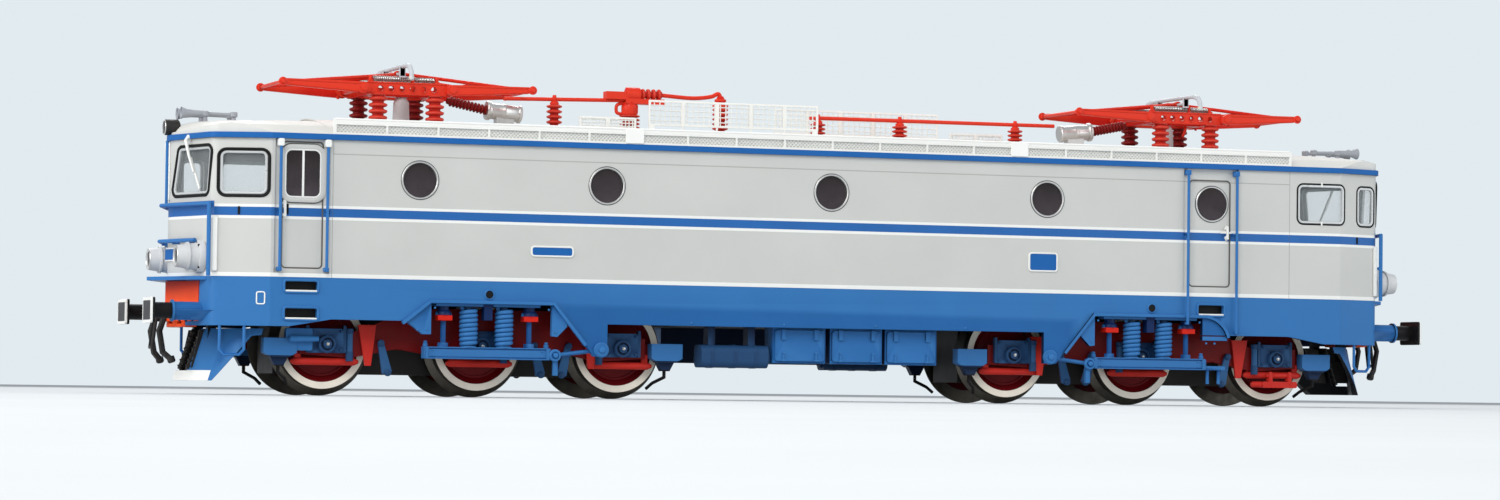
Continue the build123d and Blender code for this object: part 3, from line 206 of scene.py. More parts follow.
class Shader:
    """A Principled material with short ways to add nodes; lengths are in millimetres."""

    def __init__(self, name):
        self.material = bpy.data.materials.new(name)
        self.material.use_nodes = True
        self.tree = self.material.node_tree
        self.surface = self.tree.nodes["Principled BSDF"]
        self.place = self.new("ShaderNodeTexCoord").outputs["Object"]
        self.x, self.y, self.z = self.split(self.place)
        self.geometry = self.new("ShaderNodeNewGeometry")
        self.nx, self.ny, self.nz = self.split(self.geometry.outputs["True Normal"])
        self.from_mid_x, self.from_mid_y = (self.math("ABSOLUTE", value) for value in (self.x, self.y))

    def new(self, kind, **settings):
        node = self.tree.nodes.new(kind)
        for key, value in settings.items():
            setattr(node, key, value)
        return node

    def set(self, key, value):
        self.surface.inputs[key].default_value = value

    def link(self, source, target):
        self.tree.links.new(source, target)

    def split(self, vector):
        node = self.new("ShaderNodeSeparateXYZ")
        self.link(vector, node.inputs[0])
        return node.outputs

    def math(self, operation, a, b=None, clamp=False):
        node = self.new("ShaderNodeMath", operation=operation, use_clamp=clamp)
        for socket, value in zip(node.inputs, (a, b)):
            if isinstance(value, (int, float)):
                socket.default_value = value
            elif value is not None:
                self.link(value, socket)
        return node.outputs[0]

    def above(self, value, low):
        return self.math("GREATER_THAN", value, low * MM)

    def below(self, value, high):
        return self.math("LESS_THAN", value, high * MM)

    def band(self, value, low, high):
        """1 where value lies between low and high."""
        return self.both(self.above(value, low), self.below(value, high))

    def heights(self, low, high):
        return self.band(self.z, RAIL + low, RAIL + high)

    def both(self, *masks):
        result = masks[0]
        for mask in masks[1:]:
            result = self.math("MULTIPLY", result, mask)
        return result

    def either(self, a, b):
        return self.math("MAXIMUM", a, b)

    def away(self, value, middle):
        """How far value lies from middle."""
        return self.math("ABSOLUTE", self.math("SUBTRACT", value, middle * MM))

    def outward(self, normal, value):
        """More than 0 where the normal points away from the middle along this axis."""
        return self.math("MULTIPLY", normal, self.math("SIGN", value))

    def inside(self):
        """1 where the surface faces the middle of the locomotive, seen in plan."""
        away = self.math("ADD", self.outward(self.nx, self.x), self.outward(self.ny, self.y))
        return self.below(away, 0)

    def noise(self, size, detail=3):
        """Noise whose features are about size across, from 0 to 1."""
        node = self.new("ShaderNodeTexNoise")
        self.link(self.place, node.inputs["Vector"])
        for key, value in (("Scale", 1 / (size * MM)), ("Detail", detail), ("Roughness", 0.55)):
            node.inputs[key].default_value = value
        return node.outputs["Fac"]

    def spread(self, value, low, high, out_low=0, out_high=1):
        node = self.new("ShaderNodeMapRange")
        self.link(value, node.inputs["Value"])
        for key, limit in (("From Min", low), ("From Max", high), ("To Min", out_low), ("To Max", out_high)):
            node.inputs[key].default_value = limit
        return node.outputs["Result"]

    def mix(self, factor, a, b):
        """Colours are outputs, sRGB triples or linear RGBA."""
        node = self.new("ShaderNodeMix", data_type="RGBA")
        for socket, value in ((node.inputs["Factor"], factor), (node.inputs["A"], a), (node.inputs["B"], b)):
            if isinstance(value, tuple):
                socket.default_value = linear(value) if len(value) == 3 else value
            else:
                self.link(value, socket)
        return node.outputs["Result"]

    def colour(self, value):
        self.link(value, self.surface.inputs["Base Color"])

    def uneven(self, colour, amount=0.1, size=9):
        """The colour with soft lighter and darker patches."""
        factor = self.spread(self.noise(size, 4), 0.3, 0.7)
        dark, light = (tuple(min(1, c * (1 + change)) for c in linear(colour)[:3]) + (1,)
                       for change in (-amount, amount))
        return self.mix(factor, dark, light)

    def rough(self, middle, change=0.06, size=3):
        self.link(self.spread(self.noise(size, 5), 0.25, 0.75, middle - change, middle + change),
                  self.surface.inputs["Roughness"])

    def lit_edges(self, colour, edge, amount=0.5):
        """Paler paint along sharp edges: painted highlight where the edges catch the light."""
        sharp = self.spread(self.geometry.outputs["Pointiness"], 0.51, 0.56)
        return self.mix(self.math("MULTIPLY", sharp, amount, clamp=True), colour, edge)

    def bump(self, height, strength, depth, radius=0):
        """Bump from height, with edges rounded by radius."""
        node = self.new("ShaderNodeBump")
        node.inputs["Strength"].default_value = strength
        node.inputs["Distance"].default_value = depth * MM
        self.link(height, node.inputs["Height"])
        if radius:
            bevel = self.new("ShaderNodeBevel", samples=4)
            bevel.inputs["Radius"].default_value = radius * MM
            self.link(bevel.outputs[0], node.inputs["Normal"])
        self.link(node.outputs[0], self.surface.inputs["Normal"])

    def plastic(self, base, rough=0.42):
        """Finish of moulded or sprayed plastic: fine grain and softened edges."""
        self.colour(base)
        self.rough(rough)
        self.set("Specular IOR Level", 0.15)
        self.bump(self.noise(0.3, 4), 0.12, 0.03, 0.1)
        return self.material


def moulded(name, colour, rough=0.42, patch=0.05, edge=None, edge_light=0.5, size=9, metal=0, layers=()):
    """Plastic with slight patches and, with edge, paler edges as a painted highlight.

    A layer is a mask, as a function of the shader, and the colour, patch and size of what lies there.
    """
    s = Shader(name)
    base = s.uneven(colour, patch, size)
    if edge:
        base = s.lit_edges(base, edge, edge_light)
    for mask, *paint in layers:
        base = s.mix(mask(s), base, s.uneven(*paint))
    s.set("Metallic", metal)
    return s.plastic(base, rough)


def body_paint(name, hollow):
    """Grey body, waist stripe between white lines, white foot line, panel joints; if hollow, the faces looking
    inwards are painted dark as painted shade inside the body.
    """
    s = Shader(name)
    out = s.from_mid_x
    lines = s.either(s.heights(WAIST_LOW - LINE, WAIST_HIGH + LINE), s.heights(DECK_Z, DECK_Z + 0.65))
    base = s.mix(lines, s.uneven(GREY, 0.03, 14), s.uneven(WHITE, 0.02, 14))
    nose = s.both(s.above(out, 104), s.heights(WAIST_LOW, 29.75))
    base = s.mix(s.either(s.heights(WAIST_LOW, WAIST_HIGH), nose), base, s.uneven(STRIPE, 0.06))
    joints = s.either(s.band(out, 85.42, 85.56), s.both(s.heights(37.5, 37.66), s.below(out, 85.5)))
    base = s.mix(s.math("MULTIPLY", joints, 0.4), base, (90, 88, 84))
    if hollow:
        # painted shade: the inward faces of the shell are darkened
        base = s.mix(s.inside(), base, s.uneven((58, 57, 56)))
    s.colour(base)
    s.rough(0.42, 0.05)
    s.set("Specular IOR Level", 0.35)
    relief = s.math("SUBTRACT", s.noise(0.3, 4), s.math("MULTIPLY", joints, 6))
    s.bump(relief, 0.12, 0.05, 0.12)
    return s.material


def window_pane():
    """Clear cab glass; the round windows and the end door's are dark, painted shade of the inside behind them,
    with a painted reflection that is lighter towards their foot.
    """
    s = Shader("window_pane")
    along = s.outward(s.x, s.y)
    # dark round windows and end door glass: painted shade of the inside seen through them
    shaded_glass = s.either(s.below(s.from_mid_x, 76), s.band(along, 86.6, 94.2))
    # painted reflection: the dark glass grows lighter towards its foot
    painted_sheen = s.spread(s.z, (RAIL + 30) * MM, (RAIL + 38) * MM, 0.4, 0)
    dark = s.mix(painted_sheen, s.uneven((34, 25, 24), 0.25, 3), s.uneven((96, 88, 96), 0.2, 3))
    s.colour(s.mix(shaded_glass, (214, 222, 224), dark))
    s.link(s.spread(shaded_glass, 0, 1, 0.14, 0.94), s.surface.inputs["Alpha"])
    s.rough(0.09, 0.03, 4)
    s.set("IOR", 1.5)
    s.bump(s.noise(4, 2), 0.05, 0.1)
    return s.material


def lamp_lens():
    """Smoked polystyrene with a faint ripple."""
    s = Shader("lamp_lens")
    s.colour(s.uneven((32, 32, 36), 0.04, 2))
    s.rough(0.3, 0.02, 2)
    s.set("Alpha", 0.96)
    s.bump(s.noise(2, 2), 0.05, 0.05)
    return s.material


def metal(name, colour, rough):
    s = Shader(name)
    s.colour(s.uneven(colour, 0.06, 2.5))
    s.set("Metallic", 1)
    s.rough(rough, 0.08, 0.8)
    s.bump(s.noise(0.3, 3), 0.04, 0.01, 0.05)
    return s.material


def tyre_paint():
    """Turned tread, and an ivory ring on the outer face of each rim."""
    s = Shader("tyre_paint")
    facing = s.math("GREATER_THAN", s.math("ABSOLUTE", s.ny), 0.8)
    ring = s.both(facing, s.above(s.from_mid_y, 9.9))
    s.colour(s.mix(ring, s.uneven((112, 108, 100), 0.15, 1.5), s.uneven((246, 238, 222), 0.04, 2)))
    s.link(s.math("SUBTRACT", 1, ring), s.surface.inputs["Metallic"])
    s.rough(0.4, 0.1, 0.7)
    s.bump(s.noise(0.2, 4), 0.15, 0.03, 0.08)
    return s.material


# Where the layers of some plastics lie
def buffer_rim(s):
    edge = s.either(s.above(s.away(s.from_mid_y, BUFFER_Y), BUFFER_W / 2 - BUFFER_EDGE),
                    s.above(s.away(s.z, RAIL + BUFFER_Z), BUFFER_H / 2 - BUFFER_EDGE))
    return s.both(s.above(s.from_mid_x, BUFFER_FACE - 0.3), edge)


def damper_cap_or_seat(s):
    out = s.away(s.from_mid_x, PIVOT_X)
    return s.either(s.both(s.band(out, 6.1, 8.4), s.heights(12.15, 13.55)),
                    s.both(s.below(out, 0.9), s.above(s.z, RAIL + 11)))


def damper_bracket(s):
    return s.both(s.band(s.away(s.from_mid_x, PIVOT_X), 5.9, 8.6), s.heights(11.22, 12.15))


# Backs of the plough, painted near black as painted shade, and the dark posts at its top
def plough_back_shade_or_post(s):
    return s.either(s.math("LESS_THAN", s.outward(s.nx, s.x), 0.1), s.above(s.z, RAIL + 9.55))


# Downward faces inside the roof, painted dark: painted shade under it
def roof_underside_shade(s):
    return s.both(s.math("LESS_THAN", s.nz, -0.3), s.below(s.from_mid_y, HALF_W - 0.6),
                  s.below(s.from_mid_x, NOSE_X - 1))


# Top of the end panel, under the nose, darkened towards deep red: painted shade
def panel_top_shade(s):
    return s.math("MULTIPLY", s.spread(s.z, (RAIL + 13.8) * MM, (RAIL + 16.4) * MM), 0.8, clamp=True)


MAT = {
    "shell": body_paint("body_paint", True),
    "doors": body_paint("door_paint", False),
    # skirt_paint: its inward faces are painted dark navy, painted shade inside the skirt
    "skirt": moulded("skirt_paint", BLUE, patch=0.07, edge=BLUE_EDGE_LIGHT, edge_light=0.4, size=12,
                     layers=[(Shader.inside, (18, 34, 62))]),
    "roof": moulded("roof_paint", ROOF_WHITE, 0.45, 0.04, size=10, layers=[
        (lambda s: s.heights(GUTTER_Z - 0.1, GUTTER_Z + 0.92), STRIPE, 0.06), (roof_underside_shade, (60, 59, 58))]),
    "roof_plain": moulded("roof_white_paint", ROOF_WHITE, 0.45, 0.04),
    "panels": moulded("panel_white", (236, 235, 230), 0.45, 0.03, (246, 246, 243)),
    "white": moulded("white_paint", WHITE, 0.4, 0.03),
    "grey": moulded("lamp_grey", (206, 207, 208), 0.42, 0.03),
    "blue": moulded("blue_paint", (26, 86, 156), 0.38, edge=BLUE_EDGE_LIGHT),
    "stripe": moulded("stripe_blue", STRIPE, 0.38, 0.04),
    # a darker copy of the blue for axle covers, brake pins, tanks and spring cores: painted shade low under the
    # body
    "navy": moulded("shaded_blue_plastic", (16, 36, 66), 0.4, 0.1, (50, 92, 138)),
    "spring": moulded("spring_blue", (34, 92, 154), 0.34, 0.06, BLUE_EDGE_LIGHT),
    "red": moulded("red_plastic", RED, 0.38, 0.06, (232, 74, 50)),
    "brake": moulded("brake_red", (176, 20, 20), 0.38, 0.08, (214, 60, 48)),
    "frame": moulded("frame_grey", (206, 208, 208), 0.3, 0.04, metal=0.3),
    "dark_red": moulded("dark_red_plastic", (104, 12, 18), 0.4, 0.12),
    # darker red: the drive rods' own colour, and painted shade on the far insulators
    "brown": moulded("rod_and_insulator_shade", (126, 26, 24), 0.28, 0.1),
    "glaze": moulded("insulator_red", (190, 40, 30), 0.3, 0.06, (220, 80, 62)),
    "black": moulded("black_plastic", BLACK, 0.45, 0.15, (66, 64, 62)),
    "diecast": moulded("painted_diecast", (34, 34, 36), 0.5, 0.15),
    # black of the seals and screws, and painted shade in the step pockets, pin holes and round window shadows
    "rubber": moulded("seal_black_and_shade", (22, 22, 23), 0.5, 0.1),
    "joint": moulded("joint_shadow", (96, 94, 90), 0.6, 0.06),
    "mesh": moulded("mesh_grey", (238, 238, 234), 0.5, 0.04),
    "ground": moulded("mesh_ground", (216, 215, 210), 0.6, 0.06),
    "orange": moulded("panel_paint", (244, 84, 36), 0.4, 0.06, size=3, layers=[
        (panel_top_shade, (160, 18, 16), 0.08, 3)]),
    "silver": metal("silver_trim", (220, 219, 216), 0.38),
    "steel": metal("bright_steel", (186, 186, 184), 0.3),
    "pan": moulded("contact_strip", (192, 196, 200), 0.4),
    "horn": moulded("horn_grey", (156, 159, 166), 0.4),
    "cream": moulded("horn_tip_cream", (222, 216, 190), 0.45),
    "tyre": tyre_paint(),
    "buffer": moulded("buffer_paint", BLACK, patch=0.15, layers=[
        (lambda s: s.above(s.from_mid_x, BUFFER_FACE - 0.05), (58, 58, 60), 0.15, 2),
        (buffer_rim, WHITE, 0.03)]),
    # bogie_paint: the blue of the covers darkened to navy as painted shade under the body; dark red frame
    # inside
    "bogie": moulded("bogie_paint", (18, 46, 84), patch=0.1, edge=(60, 110, 160), edge_light=0.6, size=4, layers=[
        (lambda s: s.below(s.from_mid_y, FRAME_OUT + 0.02), (112, 10, 12), 0.12, 4)]),
    "bolster": moulded("bolster_paint", (28, 82, 142), 0.4, 0.08, BLUE_EDGE_LIGHT, size=5, layers=[
        (damper_cap_or_seat, (16, 40, 84)), (damper_bracket, RED, 0.06)]),
    # sandbox_paint: dark navy lower down, painted shade under the body, and black at the foot
    "sandbox": moulded("sandbox_paint", (30, 80, 138), patch=0.08, edge=BLUE_EDGE_LIGHT, size=5, layers=[
        (lambda s: s.below(s.z, RAIL + AXLE_Z - 1.9), (20, 40, 70)),
        (lambda s: s.below(s.z, RAIL + AXLE_Z - 3.4), BLACK)]),
    "plough": moulded("plough_paint", BLUE, patch=0.07, edge=BLUE_EDGE_LIGHT, edge_light=0.4, size=6, layers=[
        (lambda s: s.both(s.below(s.z, RAIL + 2.75), s.below(s.from_mid_y, 8.95)), WHITE, 0.03),
        (plough_back_shade_or_post, (20, 22, 28), 0.15)]),
    "pane": window_pane(),
    "lens": lamp_lens(),
}

# The record's slot of each finish on the pieces built here
SLOTS = {
    "bright_metal": "silver steel frame", "black": "rubber joint black", "shell_grey": "doors", "pane": "lens",
    "roof_white": "white grey mesh ground panels roof roof_plain", "blue": "blue stripe spring navy bolster",
    "red": "orange brake red glaze brown", "dark_red": "dark_red", "light_grey": "pan cream horn",
}
SLOT_OF = {finish: slot for slot, finishes in SLOTS.items() for finish in finishes.split()}

# Finish of the nodes of the part: those there once, at each end, and on each wheelset
ONCE = {
    "shell": "body_shell", "doors": "cab_doors", "skirt": "skirt buffer_sockets equipment_boxes",
    "roof": "roof", "diecast": "chassis_block", "pane": "window_panes",
    "blue": "nose_ledges door_handrails end_rails",
    "grey": "headlamps", "black": "top_lamps draw_hooks", "horn": "horns", "plough": "snow_ploughs",
    "buffer": "buffers", "bolster": "side_bolsters", "spring": "bolster_springs", "navy": "air_tanks",
    "panels": "roof_grilles", "red": "roof_bus_bar main_breaker", "orange": "end_panels",
}
EACH_END = {
    "black": "bogie_gearbox", "bogie": "bogie_frame", "brake": "brake_rigging", "sandbox": "sandboxes",
    "red": "panto_base panto_lower_outer panto_lower_inner panto_upper_outer panto_upper_inner",
    "glaze": "panto_insulators", "silver": "panto_drive", "pan": "panto_head",
}
EACH_WHEELSET = {"dark_red": "wheel_centres", "tyre": "tyres"}
WHEELSET_ENDINGS = [f"_{number}" for number in range(1, 7)]
for table, endings in ((ONCE, [""]), (EACH_END, ["_left", "_right"]), (EACH_WHEELSET, WHEELSET_ENDINGS)):
    for finish, names in table.items():
        for name in (node + ending for node in names.split() for ending in endings):
            nodes[name].data.materials.clear()
            nodes[name].data.materials.append(MAT[finish])


def placed(name, data):
    obj = bpy.data.objects.new(name, data)
    scene.collection.objects.link(obj)
    return obj


class Build:
    """Gathers the faces of one piece, in millimetres. Its heights start at lift above the ground."""
    begun = []

    def __init__(self, name, finish, body="root", slot=None, replaces=(), smooth=40, bevel=0, lift=RAIL):
        self.name, self.finish, self.body, self.slot = name, finish, body, slot or SLOT_OF[finish]
        self.replaces, self.smooth, self.bevel, self.lift = replaces, smooth, bevel, lift
        self.verts, self.faces = [], []
        self.begun.append(self)

    def add(self, verts, faces):
        base = len(self.verts)
        self.verts += [tuple(v) for v in verts]
        self.faces += [tuple(base + i for i in face) for face in faces]

    def box(self, low, high):
        xs, ys, zs = ([min(a, b), max(a, b)] for a, b in zip(low, high))
        verts = [(x, y, z) for x in xs for y in ys for z in zs]
        self.add(verts, [(0, 1, 3, 2), (4, 6, 7, 5), (0, 4, 5, 1), (2, 3, 7, 6), (0, 2, 6, 4), (1, 5, 7, 3)])

    def rows(self, rows, closed=False):
        """Skins rings of points that all have the same count; closed joins the last to the first."""
        n = len(rows[0])
        faces = []
        for a in range(len(rows) if closed else len(rows) - 1):
            b = (a + 1) % len(rows)
            faces += [(a * n + i, a * n + (i + 1) % n, b * n + (i + 1) % n, b * n + i) for i in range(n)]
        if not closed:
            last = (len(rows) - 1) * n
            faces += [tuple(reversed(range(n))), tuple(range(last, last + n))]
        self.add([p for row in rows for p in row], faces)

    def lathe(self, origin, axis, profile, steps=24, closed=False):
        axis = Vector(axis).normalized()
        side = axis.orthogonal().normalized()
        up = axis.cross(side)
        rays = [side * cos(t) + up * sin(t) for t in turns(steps)]
        origin = Vector(origin)
        self.rows([[origin + axis * along + ray * r for ray in rays] for along, r in profile], closed)

    def column(self, x, y, profile, steps):
        """A turned form on an upright axis."""
        self.lathe((x, y, 0), UP, profile, steps)

    def boss(self, place, x, z, out, profile, steps):
        """A turned form that stands out from a face."""
        self.lathe(place(x, z, out), place(x, z, 1) - place(x, z), profile, steps)

    def tube(self, points, radius, steps=8):
        """A round bar through points; radius is one number or one for each point."""
        points = [Vector(p) for p in points]
        radii = radius if isinstance(radius, (list, tuple)) else [radius] * len(points)
        normal = None
        rows = []
        for i, point in enumerate(points):
            along = (points[min(i + 1, len(points) - 1)] - points[max(i - 1, 0)]).normalized()
            if normal is None:
                normal = along.orthogonal().normalized()
            normal = (normal - along * normal.dot(along)).normalized()
            across = along.cross(normal)
            rows.append([point + (normal * cos(t) + across * sin(t)) * radii[i] for t in turns(steps)])
        self.rows(rows)

    def helix(self, start, stop, radius, coils, wire, steps=16, sides=7):
        """A coil spring from start to stop, with its end turns drawn in a little."""
        start, stop = Vector(start), Vector(stop)
        axis = (stop - start).normalized()
        side = axis.orthogonal().normalized()
        up = axis.cross(side)
        count = int(coils * steps)
        points = []
        for share in (i / count for i in range(count + 1)):
            t = 2 * pi * coils * share
            r = radius * (1 - 0.1 * max(0, 1 - min(share, 1 - share) * coils))
            points.append(start.lerp(stop, share) + (side * cos(t) + up * sin(t)) * r)
        self.tube(points, wire, sides)

    def moulding(self, loop, place, profile):
        """A closed strip profile, run round an outline on a face."""
        self.rows([[place(x, z, out) for x, z in grown(loop, offset)] for offset, out in profile], True)

    def slab(self, loop, place, low, high):
        """A plate of the outline's shape, from low to high above the face."""
        self.rows([[place(x, z, out) for x, z in loop] for out in (low, high)])

    def make(self):
        mesh = bpy.data.meshes.new(self.name)
        mesh.from_pydata([(x * MM, y * MM, (z + self.lift) * MM) for x, y, z in self.verts], [], self.faces)
        shape = bmesh.new()
        shape.from_mesh(mesh)
        bmesh.ops.recalc_face_normals(shape, faces=shape.faces)
        shape.to_mesh(mesh)
        shape.free()
        mesh.validate()
        mesh.materials.append(MAT[self.finish])
        obj = placed(self.name, mesh)
        if self.bevel:
            edges = obj.modifiers.new("edges", "BEVEL")
            edges.width = self.bevel * MM
            edges.segments = 2
            edges.limit_method = "ANGLE"
            edges.angle_limit = radians(50)
        mesh.shade_smooth()
        mesh.set_sharp_from_angle(angle=radians(self.smooth))
        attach(obj, self.body)
        if self.replaces:
            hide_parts(*self.replaces)


# Windows
RIM = [(-0.05, -0.33), (-0.05, 0.05), (0.02, 0.12), (0.16, 0.12), (0.24, 0.05), (0.24, -0.1), (0, -0.1),
       (0, -0.33)]
DOOR_RIM = [(x, out - 0.5) for x, out in RIM]
DOOR_RING = [(-0.3, -0.34), (-0.3, -0.24), (-0.22, -0.18), (-0.12, -0.18), (-0.05, -0.24), (-0.05, -0.34)]
DOOR_BAND = [(-0.05, -0.56), (-0.05, -0.22), (0.1, -0.16), (0.55, -0.16), (0.7, -0.24), (0.7, -0.56)]
THIN_SEAL = [(-0.12, -0.33), (-0.12, 0.04), (0, 0.09), (0.1, 0.08), (0.16, 0), (0.16, -0.08), (0, -0.08),
             (0, -0.33)]
SEAL = [(-0.12, -0.33), (-0.12, 0.12), (0, 0.2), (0.26, 0.2), (0.36, 0.08), (0.36, -0.08), (0, -0.08),
        (0, -0.33)]
INNER = [(-0.55, -0.34), (-0.55, -0.05), (-0.45, 0.05), (-0.2, 0.05), (-0.11, -0.05), (-0.11, -0.34)]
rims = Build("round_window_rims", "silver")
shadows = Build("round_window_shadows", "rubber")
seals = Build("window_seals", "rubber")
frames = Build("window_frames", "frame")
bands = Build("door_window_bands", "doors")
white_trim = Build("door_window_frames", "white")
joints = Build("door_joints", "joint")
wipers = Build("wipers", "white")
for side in SIDES:
    wall = on_side(side)
    for x in ROUND_WINDOWS:
        loop = circle(x, ROUND_Z, ROUND_R)
        profile, deep = (DOOR_RIM, -0.54) if abs(x - MID_DOOR[0]) < 1 else (RIM, -0.02)
        rims.moulding(loop, wall, profile)
        shadows.moulding(loop, wall, flat(deep - 0.04, deep + 0.06, 0.22, 0.34))
    for window, seal in ((END_WINDOW, SEAL), (MID_WINDOW, THIN_SEAL), (CORNER_WINDOW, THIN_SEAL)):
        seals.moulding(rounded(*window), wall, seal)
        frames.moulding(rounded(*window), wall, INNER)
    for door in (END_DOOR, MID_DOOR):
        joints.moulding(rounded(*door, 0.7), wall, flat(-0.62, -0.43, -0.14, 0.08))
    x, z, w, h = DOOR_WINDOW
    loop = rounded(x, z, w, h, 1.2)
    white_trim.moulding(loop, wall, DOOR_RING)
    bands.moulding(loop, wall, DOOR_BAND)
    joints.moulding(loop, wall, flat(-0.58, -0.5, 0.68, 0.86))
    white_trim.slab(rounded(x, z, 0.34, h - 0.4, 0.05, 1), wall, -0.36, -0.16)
    # small white catches at the middle of the side window's frame
    x, z, w, h, r = MID_WINDOW
    for up in (-1, 1):
        white_trim.slab(rounded(x, z + up * (h / 2 - 0.1), 0.3, 0.8, 0.05, 1), wall, -0.3, 0.16)
screen = round_corners(WINDSCREEN, 1)
for end, name in ENDS:
    for half in SIDES:
        front = on_front(end, half)
        seals.moulding(screen, front, SEAL)
        frames.moulding(screen, front, INNER)
        wipers.tube([front(7, 40.1, 0.5), front(7.1, 39.6, 1), front(8.1, 37.2, 1), front(9.2, 34.4, 0.7)],
                    [0.32, 0.3, 0.24, 0.18])
        wipers.tube([front(8, 36.8, 0.55), front(10.4, 31.7, 0.3)], 0.2, 6)
        wipers.boss(front, 7, 40.1, 0, bolt(0.42, 0.6, 0.3, 0.1), 14)

# Door handles, handrail brackets and hooks, step openings with black plates behind as painted shade, skirt pins
# with black discs as painted shade in their holes
handles = Build("door_handles", "white")
backs = Build("door_handle_backs", "rubber", slot="dark_red")
brackets = Build("handrail_brackets", "white", bevel=0.08)
hooks = Build("handrail_hooks", "blue", bevel=0.08)
steps = Build("step_frames", "spring")
step_edges = Build("step_edges", "white")
step_shades = Build("step_shades", "rubber")
pins = Build("skirt_pin_rings", "spring")
hole_shades = Build("skirt_pin_hole_shades", "rubber")
STEP_FRAME = [(-0.02, -0.9), (-0.02, 0.16), (0.1, 0.24), (0.26, 0.24), (0.36, 0.12), (0.36, -0.06),
              (0.12, -0.06), (0.12, -0.9)]
for side in SIDES:
    wall = on_side(side)
    for x, low, high in ((-93.3, 27.3, 29.9), (73.5, 27.7, 30)):
        grip = ((low, -0.5), (low + 0.1, 0.1), (high - 0.1, 0.1), (high, -0.5))
        handles.tube([wall(x, z, out) for z, out in grip], 0.22)
        for z in (low + 0.35, high - 0.35):
            handles.boss(wall, x, z, -0.6, [(0, 0.34), (0.35, 0.34), (0.5, 0.2), (0.6, 0)], 12)
    backs.slab(rounded(-92.75, 28.6, 0.35, 1.7, 0.1, 2), wall, -0.56, -0.46)
    handles.tube([wall(72.2, 28.9, 0), wall(74.3, 28.9, 0)], 0.18, 6)
    for x in (-94.2, -86.5):
        brackets.slab(rounded(x, 39.2, 0.95, 1.2, 0.2, 2), wall, -0.46, 1)
        hooks.slab(rounded(x, 19, 0.7, 0.7, 0.15, 2), wall, -0.46, 0.9)
    for x in (65.7, 75):
        hooks.slab(rounded(x, 39.1, 0.8, 0.9, 0.15, 2), wall, -0.46, 0.98)
    for x, z, w, h in ((-90.45, 16.3, 5.3, 1.6), (-90.45, 11.95, 5.3, 1.7), (70.45, 15.45, 4.9, 1.7)):
        steps.moulding(rounded(x, z, w, h, 0.3, 3), wall, STEP_FRAME)
        # black plate behind each step opening: painted shade in the pocket
        step_shades.slab(rounded(x, z, w + 0.3, h + 0.3, 0.3, 3), wall, -1.1, -0.92)
        foot = z - h / 2 + 0.06
        step_edges.tube([wall(x - w / 2 + 0.1, foot, 0.12), wall(x + w / 2 - 0.1, foot, 0.12)], 0.16, 6)
    for x in (-PIVOT_X, PIVOT_X):
        ring = [(0, -0.1), (0, 0.16), (0.08, 0.22), (0.2, 0.14), (0.24, -0.05)]
        pins.moulding(circle(x, 15.57, 0.65, 24), wall, ring)
        # black disc in each pin hole: painted shade
        hole_shades.slab(circle(x, 15.57, 0.66, 24), wall, -0.05, 0.04)

# Corner columns, waist marks and nose strips, alike at every corner
columns = Build("corner_columns", "white", bevel=0.1)
marks = Build("waist_marks", "rubber")
strips = Build("nose_strips", "white", bevel=0.1)
for side in SIDES:
    wall = on_side(side)
    for x in (-103.85, 103.85):
        columns.slab(rounded(x, 22.9, 0.75, 8.7, 0.15, 2), wall, -0.02, 0.34)
    for x, low, high in ((99.5, 27.6, 28.8), (-100.35, 27.6, 28.9)):
        marks.slab(rounded(x, (low + high) / 2, 0.35, high - low, 0.05, 1), wall, -0.02, 0.1)
for end, name in ENDS:
    x = end * (NOSE_X - 0.15)
    strips.box((x - 0.15, -0.42, 30.2), (x + 0.15, 0.42, 39.6))

# Blank plates of the near side, and the lamp plate of the left front
plates = Build("blank_plates", "stripe")
plate_edges = Build("plate_edges", "white")
PLATE_EDGE = [(-0.02, -0.05), (-0.02, 0.17), (0.06, 0.22), (0.19, 0.22), (0.27, 0.14), (0.27, -0.05)]
near = on_side(-1)
for x, z, w, h in ((-48.65, 22.8, 6.8, 1.3), (38.7, 23.05, 4.9, 2.8)):
    loop = rounded(x, z, w, h, 0.35)
    plates.slab(loop, near, -0.05, 0.14)
    plate_edges.moulding(loop, near, PLATE_EDGE)
plate_edges.moulding(rounded(-96.9, 14.35, 1.2, 1.9, 0.25), near, flat(-0.03, 0.07, -0.1, 0.1))
for half in SIDES:
    front = on_front(-1, half)
    for build, reach, low, high, proud in (
            (plate_edges, 2.7, 20.3, 22.5, 0.18), (plates, 2.45, 20.55, 22.25, 0.26)):
        build.slab([(0, low), (reach, low), (reach, high), (0, high)], front, 0, proud)

# End panels: orange down to the foot of the skirt, between the buffers, with slots low down
end_faces = Build("end_faces", "orange")
end_slots = Build("end_slots", "rubber")
for end, name in ENDS:
    for half in SIDES:
        front = on_front(end, half)
        for low, high in ((12.9, 17.05), (10.6, 12)):
            end_faces.slab([(0, low), (10.2, low), (10.4, high), (0, high)], front, 0, 0.12)
        for y in (4.6, 6.6, 8.6):
            end_slots.slab(rounded(y, 11.2, 0.7, 1.3, 0.15, 2), front, 0.08, 0.16)

